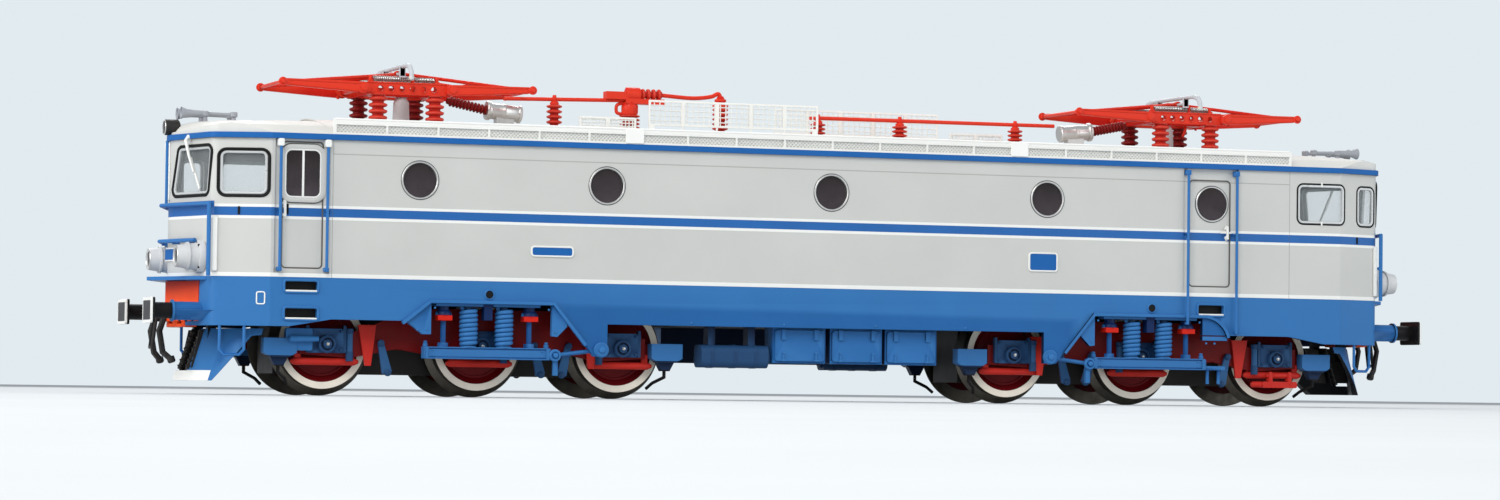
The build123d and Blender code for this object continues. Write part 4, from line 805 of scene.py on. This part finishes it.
# Lamps: base ring, rim, lens and small screws; a drum with a lens for each top lamp
drums = Build("top_lamp_drums", "black", replaces=("top_lamps",))
lamp_rings = Build("lamp_rings", "grey")
lamp_rims = Build("lamp_rims", "silver")
lenses = Build("lamp_lenses", "lens")
screws = Build("lamp_screws", "rubber")
LAMP_RIM = [(0, 1.5), (0.35, 1.5), (0.58, 1.56), (0.58, 1.68), (0.5, 1.76), (0.1, 1.76)]
for end, name in ENDS:
    axis = (end, 0, 0)
    for half in SIDES:
        def at(x):
            return Vector((end * x, half * LAMP_Y, LAMP_Z))
        lamp_rings.lathe(at(105), axis, [(0, 2.66), (0.9, 2.66), (1.05, 2.56), (1.05, 2.3), (0, 2.3)], 40, True)
        lamp_rings.lathe(at(107.4), axis, [(0, 2.1), (0, 2.3), (0.35, 2.24), (0.35, 2)], 40, True)
        lamp_rims.lathe(at(108.9), axis, LAMP_RIM, 40, True)
        lenses.lathe(at(108.95), axis, [(0, 1.5), (0.1, 1.45), (0.3, 1.1), (0.38, 0.55), (0.4, 0)], 32)
        for k in range(4):
            turn = radians(45 + 90 * k)
            spot = at(105.95) + Vector((0, cos(turn), sin(turn))) * 2.48
            screws.lathe(spot, axis, bolt(0.2, 0.2, 0.1), 8)
    top = Vector((end * (NOSE_X + 0.5), 0, GUTTER_Z + 2.2))
    drum = [(0, 0.8), (0.2, 1.16), (0.4, 1.3), (2.4, 1.3), (2.5, 1.2), (2.5, 0)]
    drums.lathe(top - Vector((end * 2.3, 0, 0)), axis, drum, 32)
    drums.box((end * 107.2, -0.5, 40.4), (end * 108.4, 0.5, 41.3))
    lamp_rims.lathe(top, axis, [(0, 1.02), (0.3, 1.02), (0.34, 1.12), (0.24, 1.2), (0, 1.2)], 32, True)
    lenses.lathe(top, axis, [(0, 1.02), (0.2, 1), (0.3, 0.6), (0.33, 0)], 28)

# Bolsters: springs, rimmed beams, bolts, caps over the dampers, bosses at both ends of the link
coils = Build("bolster_coils", "spring", replaces=("bolster_springs",), smooth=60)
cores = Build("bolster_spring_cores", "navy")
beams = Build("bolster_trim", "bolster", bevel=0.04)
bosses = Build("link_bosses", "spring")
for end, name in ENDS:
    for side in SIDES:
        y = side * BOLSTER_Y
        for x in (end * (PIVOT_X - 3), end * (PIVOT_X + 3)):
            coils.helix((x, y, 7.25), (x, y, 13.35), 1.2, 8.4, 0.37)
            coils.column(x, y, [(6.98, 1.3), (7.18, 1.3), (7.28, 1)], 20)
            cores.column(x, y, [(7, 0.62), (13.5, 0.62)], 12)
for side in SIDES:
    plane, y = on_plane(side, BOLSTER_Y + 0.95), side * BOLSTER_Y
    for end, name in ENDS:
        mid = end * PIVOT_X
        beams.moulding(rounded(mid, 6.05, 21, 1.62, 0.12, 1), plane, flat(-0.05, 0.22, -0.02, 0.16))
        beams.slab(rounded(mid, 6.05, 20, 1.2, 0.1, 1), plane, -0.05, 0.06)
        for way in (-1, 1):
            x = mid + way * 10.2
            beams.slab(rounded(x, 6.05, 0.5, 1.9, 0.1, 1), plane, -0.05, 0.3)
            beams.column(-side * x, y, [(7, 0.42), (7.5, 0.42), (7.62, 0.3), (7.95, 0.3), (8, 0.2), (8, 0)], 10)
            for z in (5.6, 6.5):
                bosses.boss(plane, mid + way * 9.2, z, -0.05, bolt(0.17, 0.22, 0.1), 8)
            cap = [(12.1, 1.35), (12.45, 1.35), (12.85, 1.1), (13.2, 0.6), (13.35, 0)]
            beams.column(-side * (mid + way * 7.25), y, cap, 24)
        for place, x, z, out, r in ((plane, 11.4, 5.9, -0.1, 1), (on_side(side), 19.1, 6.9, -0.05, 1.25)):
            link = [(0, r), (0.45, r), (0.55, r * 0.9), (0.55, r * 0.62), (0.4, r * 0.55), (0.4, r * 0.42),
                    (0.85, r * 0.4), (0.9, r * 0.3), (0.9, 0)]
            bosses.boss(place, mid - end * x, z, out, link, 28)

# Equipment boxes: lid line, latches and hinge knuckles; bands and an end cap on each tank
latches = Build("box_fittings", "spring")
tank_bands = Build("tank_bands", "navy", slot="black", bevel=0.06)
for side in SIDES:
    face = on_plane(side, HALF_W - 1.75)
    for x in (-4.7, 5.5, 15.4):
        lid = [(-0.1, -0.05), (-0.06, 0.07), (0.02, 0.07), (0.06, -0.05)]
        latches.moulding(rounded(x, 8.15, 8.5, 5.1, 0.35, 3), face, lid)
        for u in (x - 2.9, x + 2.9):
            for z in (10.75, 9.25):
                knuckle = [(-0.38, 0), (-0.38, 0.15), (0.38, 0.15), (0.38, 0)]
                latches.lathe(face(u, z, 0.26), (1, 0, 0), knuckle, 8)
            latches.slab(rounded(u, 6.3, 0.3, 1.3, 0.1, 1), face, -0.05, 0.2)
            latches.slab(rounded(u, 5.7, 0.9, 0.3, 0.1, 1), face, -0.05, 0.3)
            latches.boss(face, u, 6.9, -0.05, bolt(0.2, 0.3, 0.1, 0.05), 8)
    y = side * (HALF_W - 3.75)
    loop = rounded(y, 6.2, 4.12, 3.92, 1.25, 6)
    for x in (side * 20, side * 16, side * 12.4):
        tank_bands.rows([[(x + reach, a, b) for a, b in loop] for reach in (-0.35, 0.35)])
    tank_bands.lathe((side * 9.9, y, 6.2), (-side, 0, 0), [(-0.3, 1.5), (0.1, 1.5), (0.3, 1), (0.4, 0)], 24)

# Bogies: axle covers with their bolts, guides and straps, brake pins, dampers and brake bars
COVER = [(0, 1.45), (0.35, 1.4), (0.45, 1.25), (0.45, 1.05), (0.2, 1), (0.2, 0.75), (0.6, 0.7), (0.7, 0.5),
         (0.7, 0)]
DAMPER = [(4.5, 0.62), (6, 0.62), (6.1, 0.42), (8.9, 0.42), (9, 0.66), (9.7, 0.66), (9.8, 0.4)]
for end, name in ENDS:
    body = f"bogie_{name}"
    mid = end * PIVOT_X
    caps = Build(f"axle_covers_{name}", "navy", body)
    bright = Build(f"axle_centres_{name}", "steel", body)
    levers = Build(f"brake_pins_{name}", "navy", body)
    bars = Build(f"brake_bars_{name}", "brake", body)
    for side in SIDES:
        plane, bar = on_plane(side, FRAME_OUT), on_plane(side, FRAME_IN + 0.5)
        for x in (mid + end * AXLE_OUTER, mid, mid - end * AXLE_INNER):
            u = -side * x
            caps.boss(plane, u, AXLE_Z, 1.05, COVER, 28)
            bright.boss(plane, u, AXLE_Z, 1.72, [(0, 0.3), (0.2, 0.28), (0.26, 0)], 14)
            for dx, dz in ((-2.4, -0.95), (-2.4, 2.05), (2.4, -0.95), (2.4, 2.05)):
                caps.boss(plane, u + dx, AXLE_Z + dz, 0.75, bolt(0.26, 0.25, 0.16, 0.1), 8)
            for dx in (-3.05, 3.05):
                caps.slab(rounded(u + dx, 8, 0.5, 4.4, 0.12, 1), plane, -0.05, 0.75)
            caps.tube([plane(u - 2.9, 5.95, 0.5), plane(u + 2.9, 5.95, 0.5)], 0.2, 6)
            way = -side if x < mid or (x == mid and end < 0) else side
            for dx, dz in ((9.1, 0.3), (10.3, -4.5)):
                levers.boss(plane, u + way * dx, AXLE_Z + dz, 0.3, bolt(0.55, 0.5, 0.4, 0.1), 16)
            damper = plane(u + way * 3.9, AXLE_Z, 0.45)
            levers.column(damper.x, damper.y, DAMPER, 16)
            line = ((-5.6, 0.25), (-4.9, 0.35), (4.9, 0.35), (5.6, 0.25))
            bars.tube([bar(u + dx, 4.4, out) for dx, out in line], [0.3, 0.62, 0.62, 0.3], 12)
    # box with its light bracket and round bar, outboard of the end axle, on one side only
    box = Build(f"box_brackets_{name}", "spring", body, bevel=0.1)
    rod = Build(f"box_bars_{name}", "spring", body)
    plane = on_plane(end, FRAME_OUT + 0.8)
    x = -end * (mid + end * AXLE_OUTER)
    box.slab(rounded(x - 4.6, 7.9, 4.4, 3.6, 0.3, 2), plane, -0.7, 0.5)
    rod.tube([plane(x - 6.2, 8, 0.9), plane(x - 6.2, 8, 0.95), plane(x - 1.6, 8, 1.2)], [0.3, 0.62, 0.42], 10)

# Brake unit over the outer wheel of the right bogie, near side
unit = Build("brake_unit", "brake", "bogie_right")
plane = on_plane(-1, FRAME_IN + 1.6)
for z, x0, x1, r in ((4.35, 83.6, 88.4, 0.5), (2.75, 80.7, 89.6, 0.55)):
    unit.tube([plane(x, z) for x in (x0, x0 + 0.3, x1 - 0.3, x1)], [r * 0.6, r, r, r * 0.6], 12)
unit.slab(rounded(86, 2.75, 6.6, 1.1, 0.2, 2), plane, -0.3, 0.75)
for x in (84.3, 88):
    unit.tube([plane(x, z, 0.4) for z in (2.3, 2.6, 4.6, 5)], [0.3, 0.42, 0.42, 0.25], 10)
    unit.lathe(plane(x, 3.6), UP, [(-0.2, 0.3), (-0.15, 0.6), (0.15, 0.6), (0.2, 0.3)], 12)

# Raised rings on each wheel disc
axles = sorted(end * PIVOT_X + off for end, name in ENDS for off in (end * AXLE_OUTER, 0, -end * AXLE_INNER))
for number, x in enumerate(axles, 1):
    ring = Build(f"wheel_rings_{number}", "dark_red", f"wheelset_{number}")
    for side in SIDES:
        ring.lathe((x, side * 9.15, AXLE_Z), (0, side, 0),
                   [(0, 2.7), (0.35, 2.6), (0.4, 2.4), (0.3, 2.2), (0.05, 2.2)], 40, True)
        ring.lathe((x, side * 9.2, AXLE_Z), (0, side, 0),
                   [(-0.3, 5.15), (0, 5.2), (0.12, 5), (0.1, 4.8), (-0.3, 4.75)], 48, True)

# Skirt rivets; hose taps; plough struts with the webs that carry the plough
rivets = Build("skirt_rivets", "spring")
RIVETS = [(end * (PIVOT_X + out), z) for end in (-1, 1)
          for out, z in ((-10.1, 13.3), (9.1, 13.3), (12, 9.7), (10.4, 9.7), (-11.3, 9.6))]
RIVETS += [(x, 11.6) for x in (-24.5, -8.2, 8.2, 24.5)]
for side in SIDES:
    for x, z in RIVETS:
        rivets.boss(on_side(side), x, z, -0.02, [(0, 0.2), (0.1, 0.18), (0.16, 0)], 8)
taps = Build("hose_taps", "black")
struts = Build("plough_struts", "black")
WEB = ((99.8, 9.3), (101.8, 3.2), (105.2, 3.2), (103.9, 9.3))
for end, name in ENDS:
    for half in SIDES:
        tap = Vector((end * 107.4, half * 3.4, 11.9))
        taps.lathe(tap, (end, 0, 0), [(-0.6, 0.75), (0.4, 0.75), (0.5, 0.6), (1, 0.6), (1.05, 0.4)], 16)
        lever = ((end * 0.6, 0, 0), (end * 0.7, 0, 1), (end * 1.1, half * 0.3, 1.4))
        taps.tube([tap + Vector(v) for v in lever], 0.18, 6)
        taps.lathe((end * 108.5, half * 4.4, 4.4), (end * -0.3, half * 0.2, -1),
                   [(-0.5, 0.62), (0.3, 0.66), (0.5, 0.5), (0.5, 0)], 14)
        top, foot = Vector((end * 103.2, half * 3, 9.4)), Vector((end * 105.5, half * 3, 2.9))
        struts.tube([top, foot], 0.42, 6)
        for k in range(7):
            ring = [(-0.22, 0.4), (-0.1, 0.58), (0.1, 0.58), (0.22, 0.4)]
            struts.lathe(top.lerp(foot, (k + 0.5) / 7), foot - top, ring, 8)
    for side in SIDES:
        struts.slab([(-side * end * x, z) for x, z in WEB], on_plane(side, 4), -0.2, 0.2)

# Roof: mesh in the panels and fences, rails and plain covers
mesh = Build("roof_mesh", "mesh", lift=0)
ground = Build("roof_mesh_ground", "ground")
covers = Build("roof_panel_covers", "panels", bevel=0.05)
BAY, BAYS, POST, WIRE_PITCH = 8.53, 20, 0.35, 0.62
MESH_LOW, MESH_HIGH = 41.1, 42.5
FENCES = ((-28.2, 2.2, 44.8, 49.1, 5, 31, 5), (-40.4, -30.4, 44, 46, 2, 16, 4))
FACE_Y = HALF_W + 0.12
rise = MESH_HIGH - MESH_LOW
for side in SIDES:
    # the wires are placed in heights above the ground
    face, wire_face, plane = on_plane(side, FACE_Y), on_plane(side, FACE_Y, RAIL), on_plane(side, 4.75, RAIL)
    for i in range(BAYS):
        x0 = (i - BAYS / 2) * BAY + POST / 2
        x1 = x0 + BAY - POST
        ground.slab([(x0, MESH_LOW), (x1, MESH_LOW), (x1, MESH_HIGH), (x0, MESH_HIGH)], face, -0.16, -0.1)
        for lean in (-1, 1):
            start = x0 - rise + random.uniform(0, 0.2)
            while start < x1 + rise:
                # one diagonal wire from a to b, clipped to the panel
                a, b = sorted((start + (z if lean > 0 else rise - z), z) for z in (0, rise))
                run = b[0] - a[0]
                low, high = max(0, (x0 - a[0]) / run), min(1, (x1 - a[0]) / run)
                if high > low:
                    mesh.tube([wire_face(a[0] + run * t, MESH_LOW + (a[1] + (b[1] - a[1]) * t), -0.02)
                               for t in (low, high)], 0.085, 4)
                start += WIRE_PITCH
    reach = BAYS / 2 * BAY
    for z, out, r, edges in ((43.2, 0.16, 0.2, 8), (42.42, 0.22, 0.12, 6)):
        covers.tube([face(-reach, z, out), face(reach, z, out)], r, edges)
    for x in (-34.85, 34):
        covers.slab(rounded(x, 42.05, 3.1, 2.35, 0.1, 1), face, 0, 0.5)
    for start, stop, low, high, bays, nx, nz in FENCES:
        for x in (start + (stop - start) * k / nx for k in range(1, nx)):
            mesh.tube([plane(x, low + 0.2), plane(x, high - 0.2)], 0.1, 5)
        for z in (low + (high - low) * k / nz for k in range(1, nz)):
            mesh.tube([plane(start + 0.2, z), plane(stop - 0.2, z)], 0.1, 5)
        for k in range(bays + 1):
            x = min(max(start + (stop - start) * k / bays, start + 0.2), stop - 0.2)
            mesh.tube([plane(x, low - 0.6), plane(x, high - 0.05)], 0.18, 6)

# Bus bars on insulators; breaker
bus = Build("bus_bars", "red", replaces=("roof_bus_bar",))
stands = Build("bus_insulators", "glaze")
for x0, z0, x1, z1 in ((-52.1, 48.75, -30.6, 49.2), (2.5, 47.4, 48.2, 47.5)):
    bus.tube([(x0, 0, z0), (x1, 0, z1)], 0.34, 12)
for x, top, ribs in ((-43.3, 48.7, 5), (19.1, 47.2, 4), (40.8, 47.2, 4), (4, 47.1, 4)):
    stands.column(x, 0, sheds(CREST_Z - 0.2, top - 0.5, ribs, 1.32, 0.72), 28)
    cap = ((-0.7, 0.75), (-0.3, 0.75), (-0.1, 0.5), (0.45, 0.5), (0.6, 0.35), (0.95, 0.3), (1, 0))
    bus.column(x, 0, [(top + z, r) for z, r in cap], 16)
breaker = Build("breaker_body", "red", replaces=("main_breaker",), bevel=0.08)
shades = Build("breaker_insulators", "glaze")
BREAKER_X, LEAD_X = -30, -13.8
shades.column(BREAKER_X, 0, [(CREST_Z - 0.2, 1.9), (44.3, 1.9)] + sheds(44.3, 46.9, 4, 1.75, 1.2), 28)
breaker.column(BREAKER_X, 0, [(46.8, 1.3), (47.2, 1.42), (48.3, 1.42), (48.6, 1.25), (48.9, 1.25)], 28)
breaker.box((-34.4, -1, 49.3), (-30.5, 1, 50.6))
breaker.lathe((-30.8, 0, 50.2), (1, 0, 0), [(0, 0.9), (0.15, 1.25), (2.4, 1.25), (2.6, 1), (2.7, 0)], 28)
breaker.box((-31, -1.2, 48.6), (-24.2, 1.2, 49.5))
shades.lathe((-28.2, 0, 50.3), (1, 0, 0), sheds(0, 3.8, 4, 1, 0.6), 24)
HANDLE = ((-31, 48.8), (-32.2, 48.4), (-32.4, 47.6), (-32.1, 47), (-30.4, 46.8))
LEAD = ((-24.6, 50.3), (-19, 50), (-15.6, 50.35), (-14.3, 50.9), (-13.85, 50.4), (LEAD_X, 49.6))
for line, r, edges in ((HANDLE, 0.3, 8), (LEAD, 0.36, 10)):
    breaker.tube(curve([(x, 0, z) for x, z in line]), r, edges)
shades.column(LEAD_X, 0, sheds(CREST_Z - 0.2, 48.6, 6, 1.35, 0.8), 28)
breaker.column(LEAD_X, 0, [(48.5, 0.8), (48.7, 1.35), (48.95, 1.4), (49.1, 0.9), (49.4, 0.7), (49.6, 1),
                           (49.9, 1), (50.1, 0.7), (50.5, 0.5), (50.5, 0)], 24)


def crown_z(y):
    """Height of the roof at y from the centre line."""
    return CREST_Z - 1.9 * (y / (HALF_W - 1.6)) ** 2


def panto_stands(name, centre):
    """Insulators under the base: bright red on the near side; on the far side a darker red, painted shade."""
    low = crown_z(BEAM_Y) - 0.15
    profile = [(low, 1.25), (low + 0.35, 1.25)] + sheds(low + 0.35, PANTO_Z - 1.15, 4, 1.55, 0.95)
    profile += [(PANTO_Z - 1.1, 1.2), (PANTO_Z - 0.9, 1.2)]
    near = Build(f"panto_stands_near_{name}", "glaze", replaces=(f"panto_insulators_{name}",))
    # darker red on the far stands: painted shade
    far = Build(f"panto_stands_far_{name}", "brown")
    for side, build in ((-1, near), (1, far)):
        for x in (centre - 4.8, centre + 4.8):
            build.column(x, side * BEAM_Y, profile, 28)


def panto_drive(name, centre, inwards):
    """Silver cylinder, leaning down towards the middle, with its ribbed rod."""
    cylinder = Build(f"drive_cylinder_{name}", "silver", replaces=(f"panto_drive_{name}",), bevel=0.05)
    rod = Build(f"drive_rod_{name}", "brown", slot="dark_red")
    near = Vector((centre + inwards * 15.7, 0, 46.65))
    far = Vector((centre + inwards * 21.3, 0, 46.15))
    run = (far - near).length
    middle = run * 0.45
    cylinder.lathe(near, far - near, [
        (-0.35, 0.5), (-0.35, 1.5), (-0.2, 1.6), (0.25, 1.6), (0.4, 1.5), (0.4, 1.36), (middle, 1.36),
        (middle + 0.1, 1.42), (middle + 0.5, 1.42), (middle + 0.6, 1.36), (run - 0.5, 1.36), (run - 0.4, 1.5),
        (run, 1.5), (run + 0.12, 1.38), (run + 0.12, 0)], 36)
    cylinder.box((near.x + inwards * 1.3, -0.9, CREST_Z - 0.2), (far.x - inwards * 1.2, 0.9, 45.9))
    lean = Vector((centre + inwards * 8.6, 0, 48.05)) - near
    ribs = sheds(0.2, lean.length - 0.4, 11, 0.86, 0.58)
    rod.lathe(near, lean, [(0, 0.62)] + ribs + [(lean.length, 0.5)], 20)


def panto_base(name, centre, outer):
    """Lifting springs on their posts, the riser, and the side beams' rims, caps and lugs."""
    lifts = Build(f"lifting_springs_{name}", "steel", smooth=60)
    riser = Build(f"panto_riser_{name}", "grey", slot="light_grey")
    rim = Build(f"panto_base_trim_{name}", "red", smooth=30)
    riser.column(centre - outer * 0.8, 0, [
        (CREST_Z - 0.2, 1.75), (44.3, 1.7), (44.6, 1.4), (47.4, 1.3), (48, 1), (48.3, 0.8)], 28)
    z = PANTO_Z + 1.7
    for y in (-SPRING_Y, SPRING_Y):
        lifts.helix((centre - 5.2, y, z), (centre + 1.2, y, z), 0.4, 20, 0.13, 10, 5)
        lifts.helix((centre + 1.9, y, z), (centre + 5.2, y, z), 0.34, 12, 0.12, 10, 5)
        lifts.tube([(centre + 1.1, y, z), (centre + 2, y, z)], 0.2)
    for side in SIDES:
        plane = on_plane(side, BEAM_Y + 0.45)
        u = -side * centre
        for x in (u - PANTO_PIVOT, u + PANTO_PIVOT):
            cap = [(0, 0.95), (0.2, 0.95), (0.3, 0.8), (0.3, 0.55), (0.45, 0.5), (0.5, 0)]
            rim.boss(plane, x, PANTO_Z, -0.05, cap, 24)
        for i in range(6):
            ring = [(-0.02, -0.1), (-0.02, 0.08), (0.12, 0.08), (0.16, -0.02)]
            rim.moulding(circle(u + (i - 2.5) * 1.8, PANTO_Z, 0.5, 20), plane, ring)
        for up in (0.95, -0.86):
            rim.tube([plane(u - 6.6, PANTO_Z + up), plane(u + 6.6, PANTO_Z + up)], 0.14, 6)
        for x in (u - 8.3, u + 8.3):
            rim.tube([plane(x, PANTO_Z - 0.5, -0.2), plane(x, PANTO_Z - 1.1, -0.2)], 0.22, 6)
    for y in (-SPRING_Y, SPRING_Y):
        for x in (centre - 5.6, centre + 1.5, centre + 5.6):
            rim.tube([(x, y, z - 2.3), (x, y, z + 0.35), (x, y, z + 0.55)], [0.3, 0.34, 0.2])


def panto_arms(name, centre, half, tag):
    """Ribs along the lower arm and bosses at its knee."""
    knee = Vector((centre + half * (PANTO_PIVOT + ARM * cos(ARM_REST)), 0, PANTO_Z + ARM * sin(ARM_REST)))
    pivot = Vector((centre + half * PANTO_PIVOT, 0, PANTO_Z))
    ribs = Build(f"lower_arm_ribs_{tag}_{name}", "red", f"panto_lower_{tag}_{name}")
    boss = Build(f"knee_bosses_{tag}_{name}", "red", f"panto_upper_{tag}_{name}")
    for side in SIDES:
        out = Vector((0, side * (ARM_Y + 0.4), 0))
        cap = [(0, 0.72), (0.2, 0.72), (0.3, 0.5), (0.3, 0.38), (0.5, 0.34), (0.55, 0)]
        boss.lathe(knee + out, (0, side, 0), cap, 20)
        for way in (1, -1):
            ribs.tube([pivot.lerp(knee, share) + Vector((0, side * (ARM_Y + 0.44), way * half_h))
                       for share, half_h in ((0.06, 0.62), (0.93, 0.34))], 0.13, 6)
        ribs.lathe(pivot + out, (0, side, 0), [(0, 0.62), (0.25, 0.6), (0.3, 0.4), (0.3, 0)], 18)


def panto_head(name, x):
    """Smooth contact strip with its horns' cream tips."""
    apex = PANTO_Z + 2.7
    strip = Build(f"contact_strip_{name}", "pan", f"panto_head_{name}", bevel=0.04)
    tips = Build(f"horn_tips_{name}", "cream", f"panto_head_{name}")
    line = [(-11.2, -1.5), (-11, -0.6), (-10.2, 0.45), (-8.6, 0.98), (-6.5, 1.1), (0, 1.1)]
    line += [(-y, z) for y, z in reversed(line[:-1])]
    strip.tube(curve([(x, y, apex + z) for y, z in line], 4), 0.36, 10)
    for side in SIDES:
        tip = [(x, side * y, apex - down) for y, down in ((11.1, 0.9), (11.2, 1.2), (11.25, 1.5))]
        tips.tube(tip, [0.42, 0.42, 0.3], 10)
        strip.box((x - 0.42, side * 5.1, apex - 0.5), (x + 0.42, side * 5.5, apex + 1.1))


for end, name in ENDS:
    centre = end * PANTO_X
    panto_stands(name, centre)
    panto_drive(name, centre, -end)
    panto_base(name, centre, end)
    panto_arms(name, centre, end, "outer")
    panto_arms(name, centre, -end, "inner")
    panto_head(name, centre + end * 0.5)

# Horns, the brows of the roof over the top lamps, roof seams
bells = Build("horn_bells", "horn", replaces=("horns",))
brows = Build("roof_brows", "roof_plain")
seams = Build("roof_seams", "roof")
BELL = [(0, 0.5), (1.6, 0.52), (2.7, 0.66), (3.4, 0.88), (3.7, 1), (3.78, 0.98), (3.6, 0.8), (2.6, 0.5),
        (2.4, 0)]
HORN_POST = [(0, 0.42), (1.5, 0.36), (1.6, 0.62), (2.3, 0.62), (2.45, 0.4), (2.45, 0)]
BROW = ((96, 43.6, 13), (101, 43.4, 12), (104, 43.1, 10), (105.6, 42.8, 8), (106.8, 42.4, 5.2),
        (107.5, 41.7, 3.2), (107.9, 40.9, 2))
BROW_FOOT = 40.3
for end, name in ENDS:
    for side in SIDES:
        throat, tail = Vector((end * 103.2, side * 1.6, 44.4)), Vector((end * 98, side * 1.6, 44.3))
        bells.lathe(throat, (end, 0, 0), BELL, 24)
        bells.tube([tail, throat + Vector((end * 0.4, 0, 0))], 0.3, 12)
        for out in (0.3, 5):
            bells.lathe(tail + Vector((end * out, 0, -1.9)), UP, HORN_POST, 16)
    brows.rows([[(end * x, half * cos(t), BROW_FOOT + (top - BROW_FOOT) * sin(t))
                 for t in (pi * k / 10 for k in range(11))] for x, top, half in BROW])
for x in (-86.5, -51.6, -34.4, -17.2, 0, 17.2, 34.4, 51.6, 86.5):
    seams.tube([(x, 1.53 * k, crown_z(1.53 * k) - 0.02) for k in range(-10, 11)], 0.12, 6)

for build in Build.begun:
    build.make()

# Camera, floor and light
YAW, PITCH, ROLL = radians(19.976), radians(1.971), radians(0.712)
forward = Vector((sin(YAW) * cos(PITCH), cos(YAW) * cos(PITCH), sin(PITCH)))
level = Vector((cos(YAW), -sin(YAW), 0))
above = level.cross(forward)
right = level * cos(ROLL) + above * sin(ROLL)
up = above * cos(ROLL) - level * sin(ROLL)
camera_data = bpy.data.cameras.new("camera")
camera = placed("camera", camera_data)
turn = Matrix((right, up, -forward)).transposed().to_4x4()
camera.matrix_world = Matrix.Translation(Vector((-0.24936, -0.66372, 0.0013))) @ turn
camera_data.sensor_width = 36
camera_data.lens = 99.623
camera_data.clip_start = 0.01
scene.camera = camera
scene.view_settings.view_transform = "Standard"

FLOOR_HALF = 6
floor_mesh = bpy.data.meshes.new("floor")
corners = [(x * FLOOR_HALF, y * FLOOR_HALF, 0) for x, y in ((-1, -1), (1, -1), (1, 1), (-1, 1))]
floor_mesh.from_pydata(corners, [], [(0, 1, 2, 3)])
floor = placed("floor", floor_mesh)
floor_look = Shader("floor_paint")
floor_look.colour(floor_look.uneven((206, 210, 212), 0.02, 60))
floor_look.rough(0.75, 0.05, 20)
floor_mesh.materials.append(floor_look.material)

# The world lights the model softly, and shows as a pale sky behind it
world = bpy.data.worlds.new("studio")
scene.world = world
world.use_nodes = True
tree = world.node_tree
background = tree.nodes["Background"]
background.inputs["Color"].default_value = (0.90, 0.95, 1, 1)
background.inputs["Strength"].default_value = 0.5
seen = tree.nodes.new("ShaderNodeBackground")
seen.inputs["Color"].default_value = linear((226, 235, 240))
path = tree.nodes.new("ShaderNodeLightPath")
either = tree.nodes.new("ShaderNodeMath")
either.operation = "MAXIMUM"
choose = tree.nodes.new("ShaderNodeMixShader")
for source, target in ((path.outputs["Is Camera Ray"], either.inputs[0]),
                       (path.outputs["Is Transmission Ray"], either.inputs[1]),
                       (either.outputs[0], choose.inputs[0]), (background.outputs[0], choose.inputs[1]),
                       (seen.outputs[0], choose.inputs[2]),
                       (choose.outputs[0], tree.nodes["World Output"].inputs["Surface"])):
    tree.links.new(source, target)

for name, place, aim, size, power, colour in (
        ("key", (-0.55, -0.75, 0.75), (0, 0, 0.02), 0.6, 6.8, (1, 0.98, 0.95)),
        ("front", (-0.8, -0.12, 0.28), (-0.11, 0, 0.025), 0.4, 2.6, (1, 1, 1)),
        ("fill", (0.75, -0.6, 0.35), (0, 0, 0.02), 0.7, 3, (0.95, 0.98, 1)),
        ("back", (0.2, 0.8, 0.7), (0, 0, 0.03), 0.7, 5, (1, 1, 1))):
    light = bpy.data.lights.new(name, "AREA")
    light.size, light.energy, light.color = size, power, colour
    lamp = placed(name, light)
    lamp.location = place
    lamp.rotation_euler = (Vector(aim) - Vector(place)).to_track_quat("-Z", "Y").to_euler()
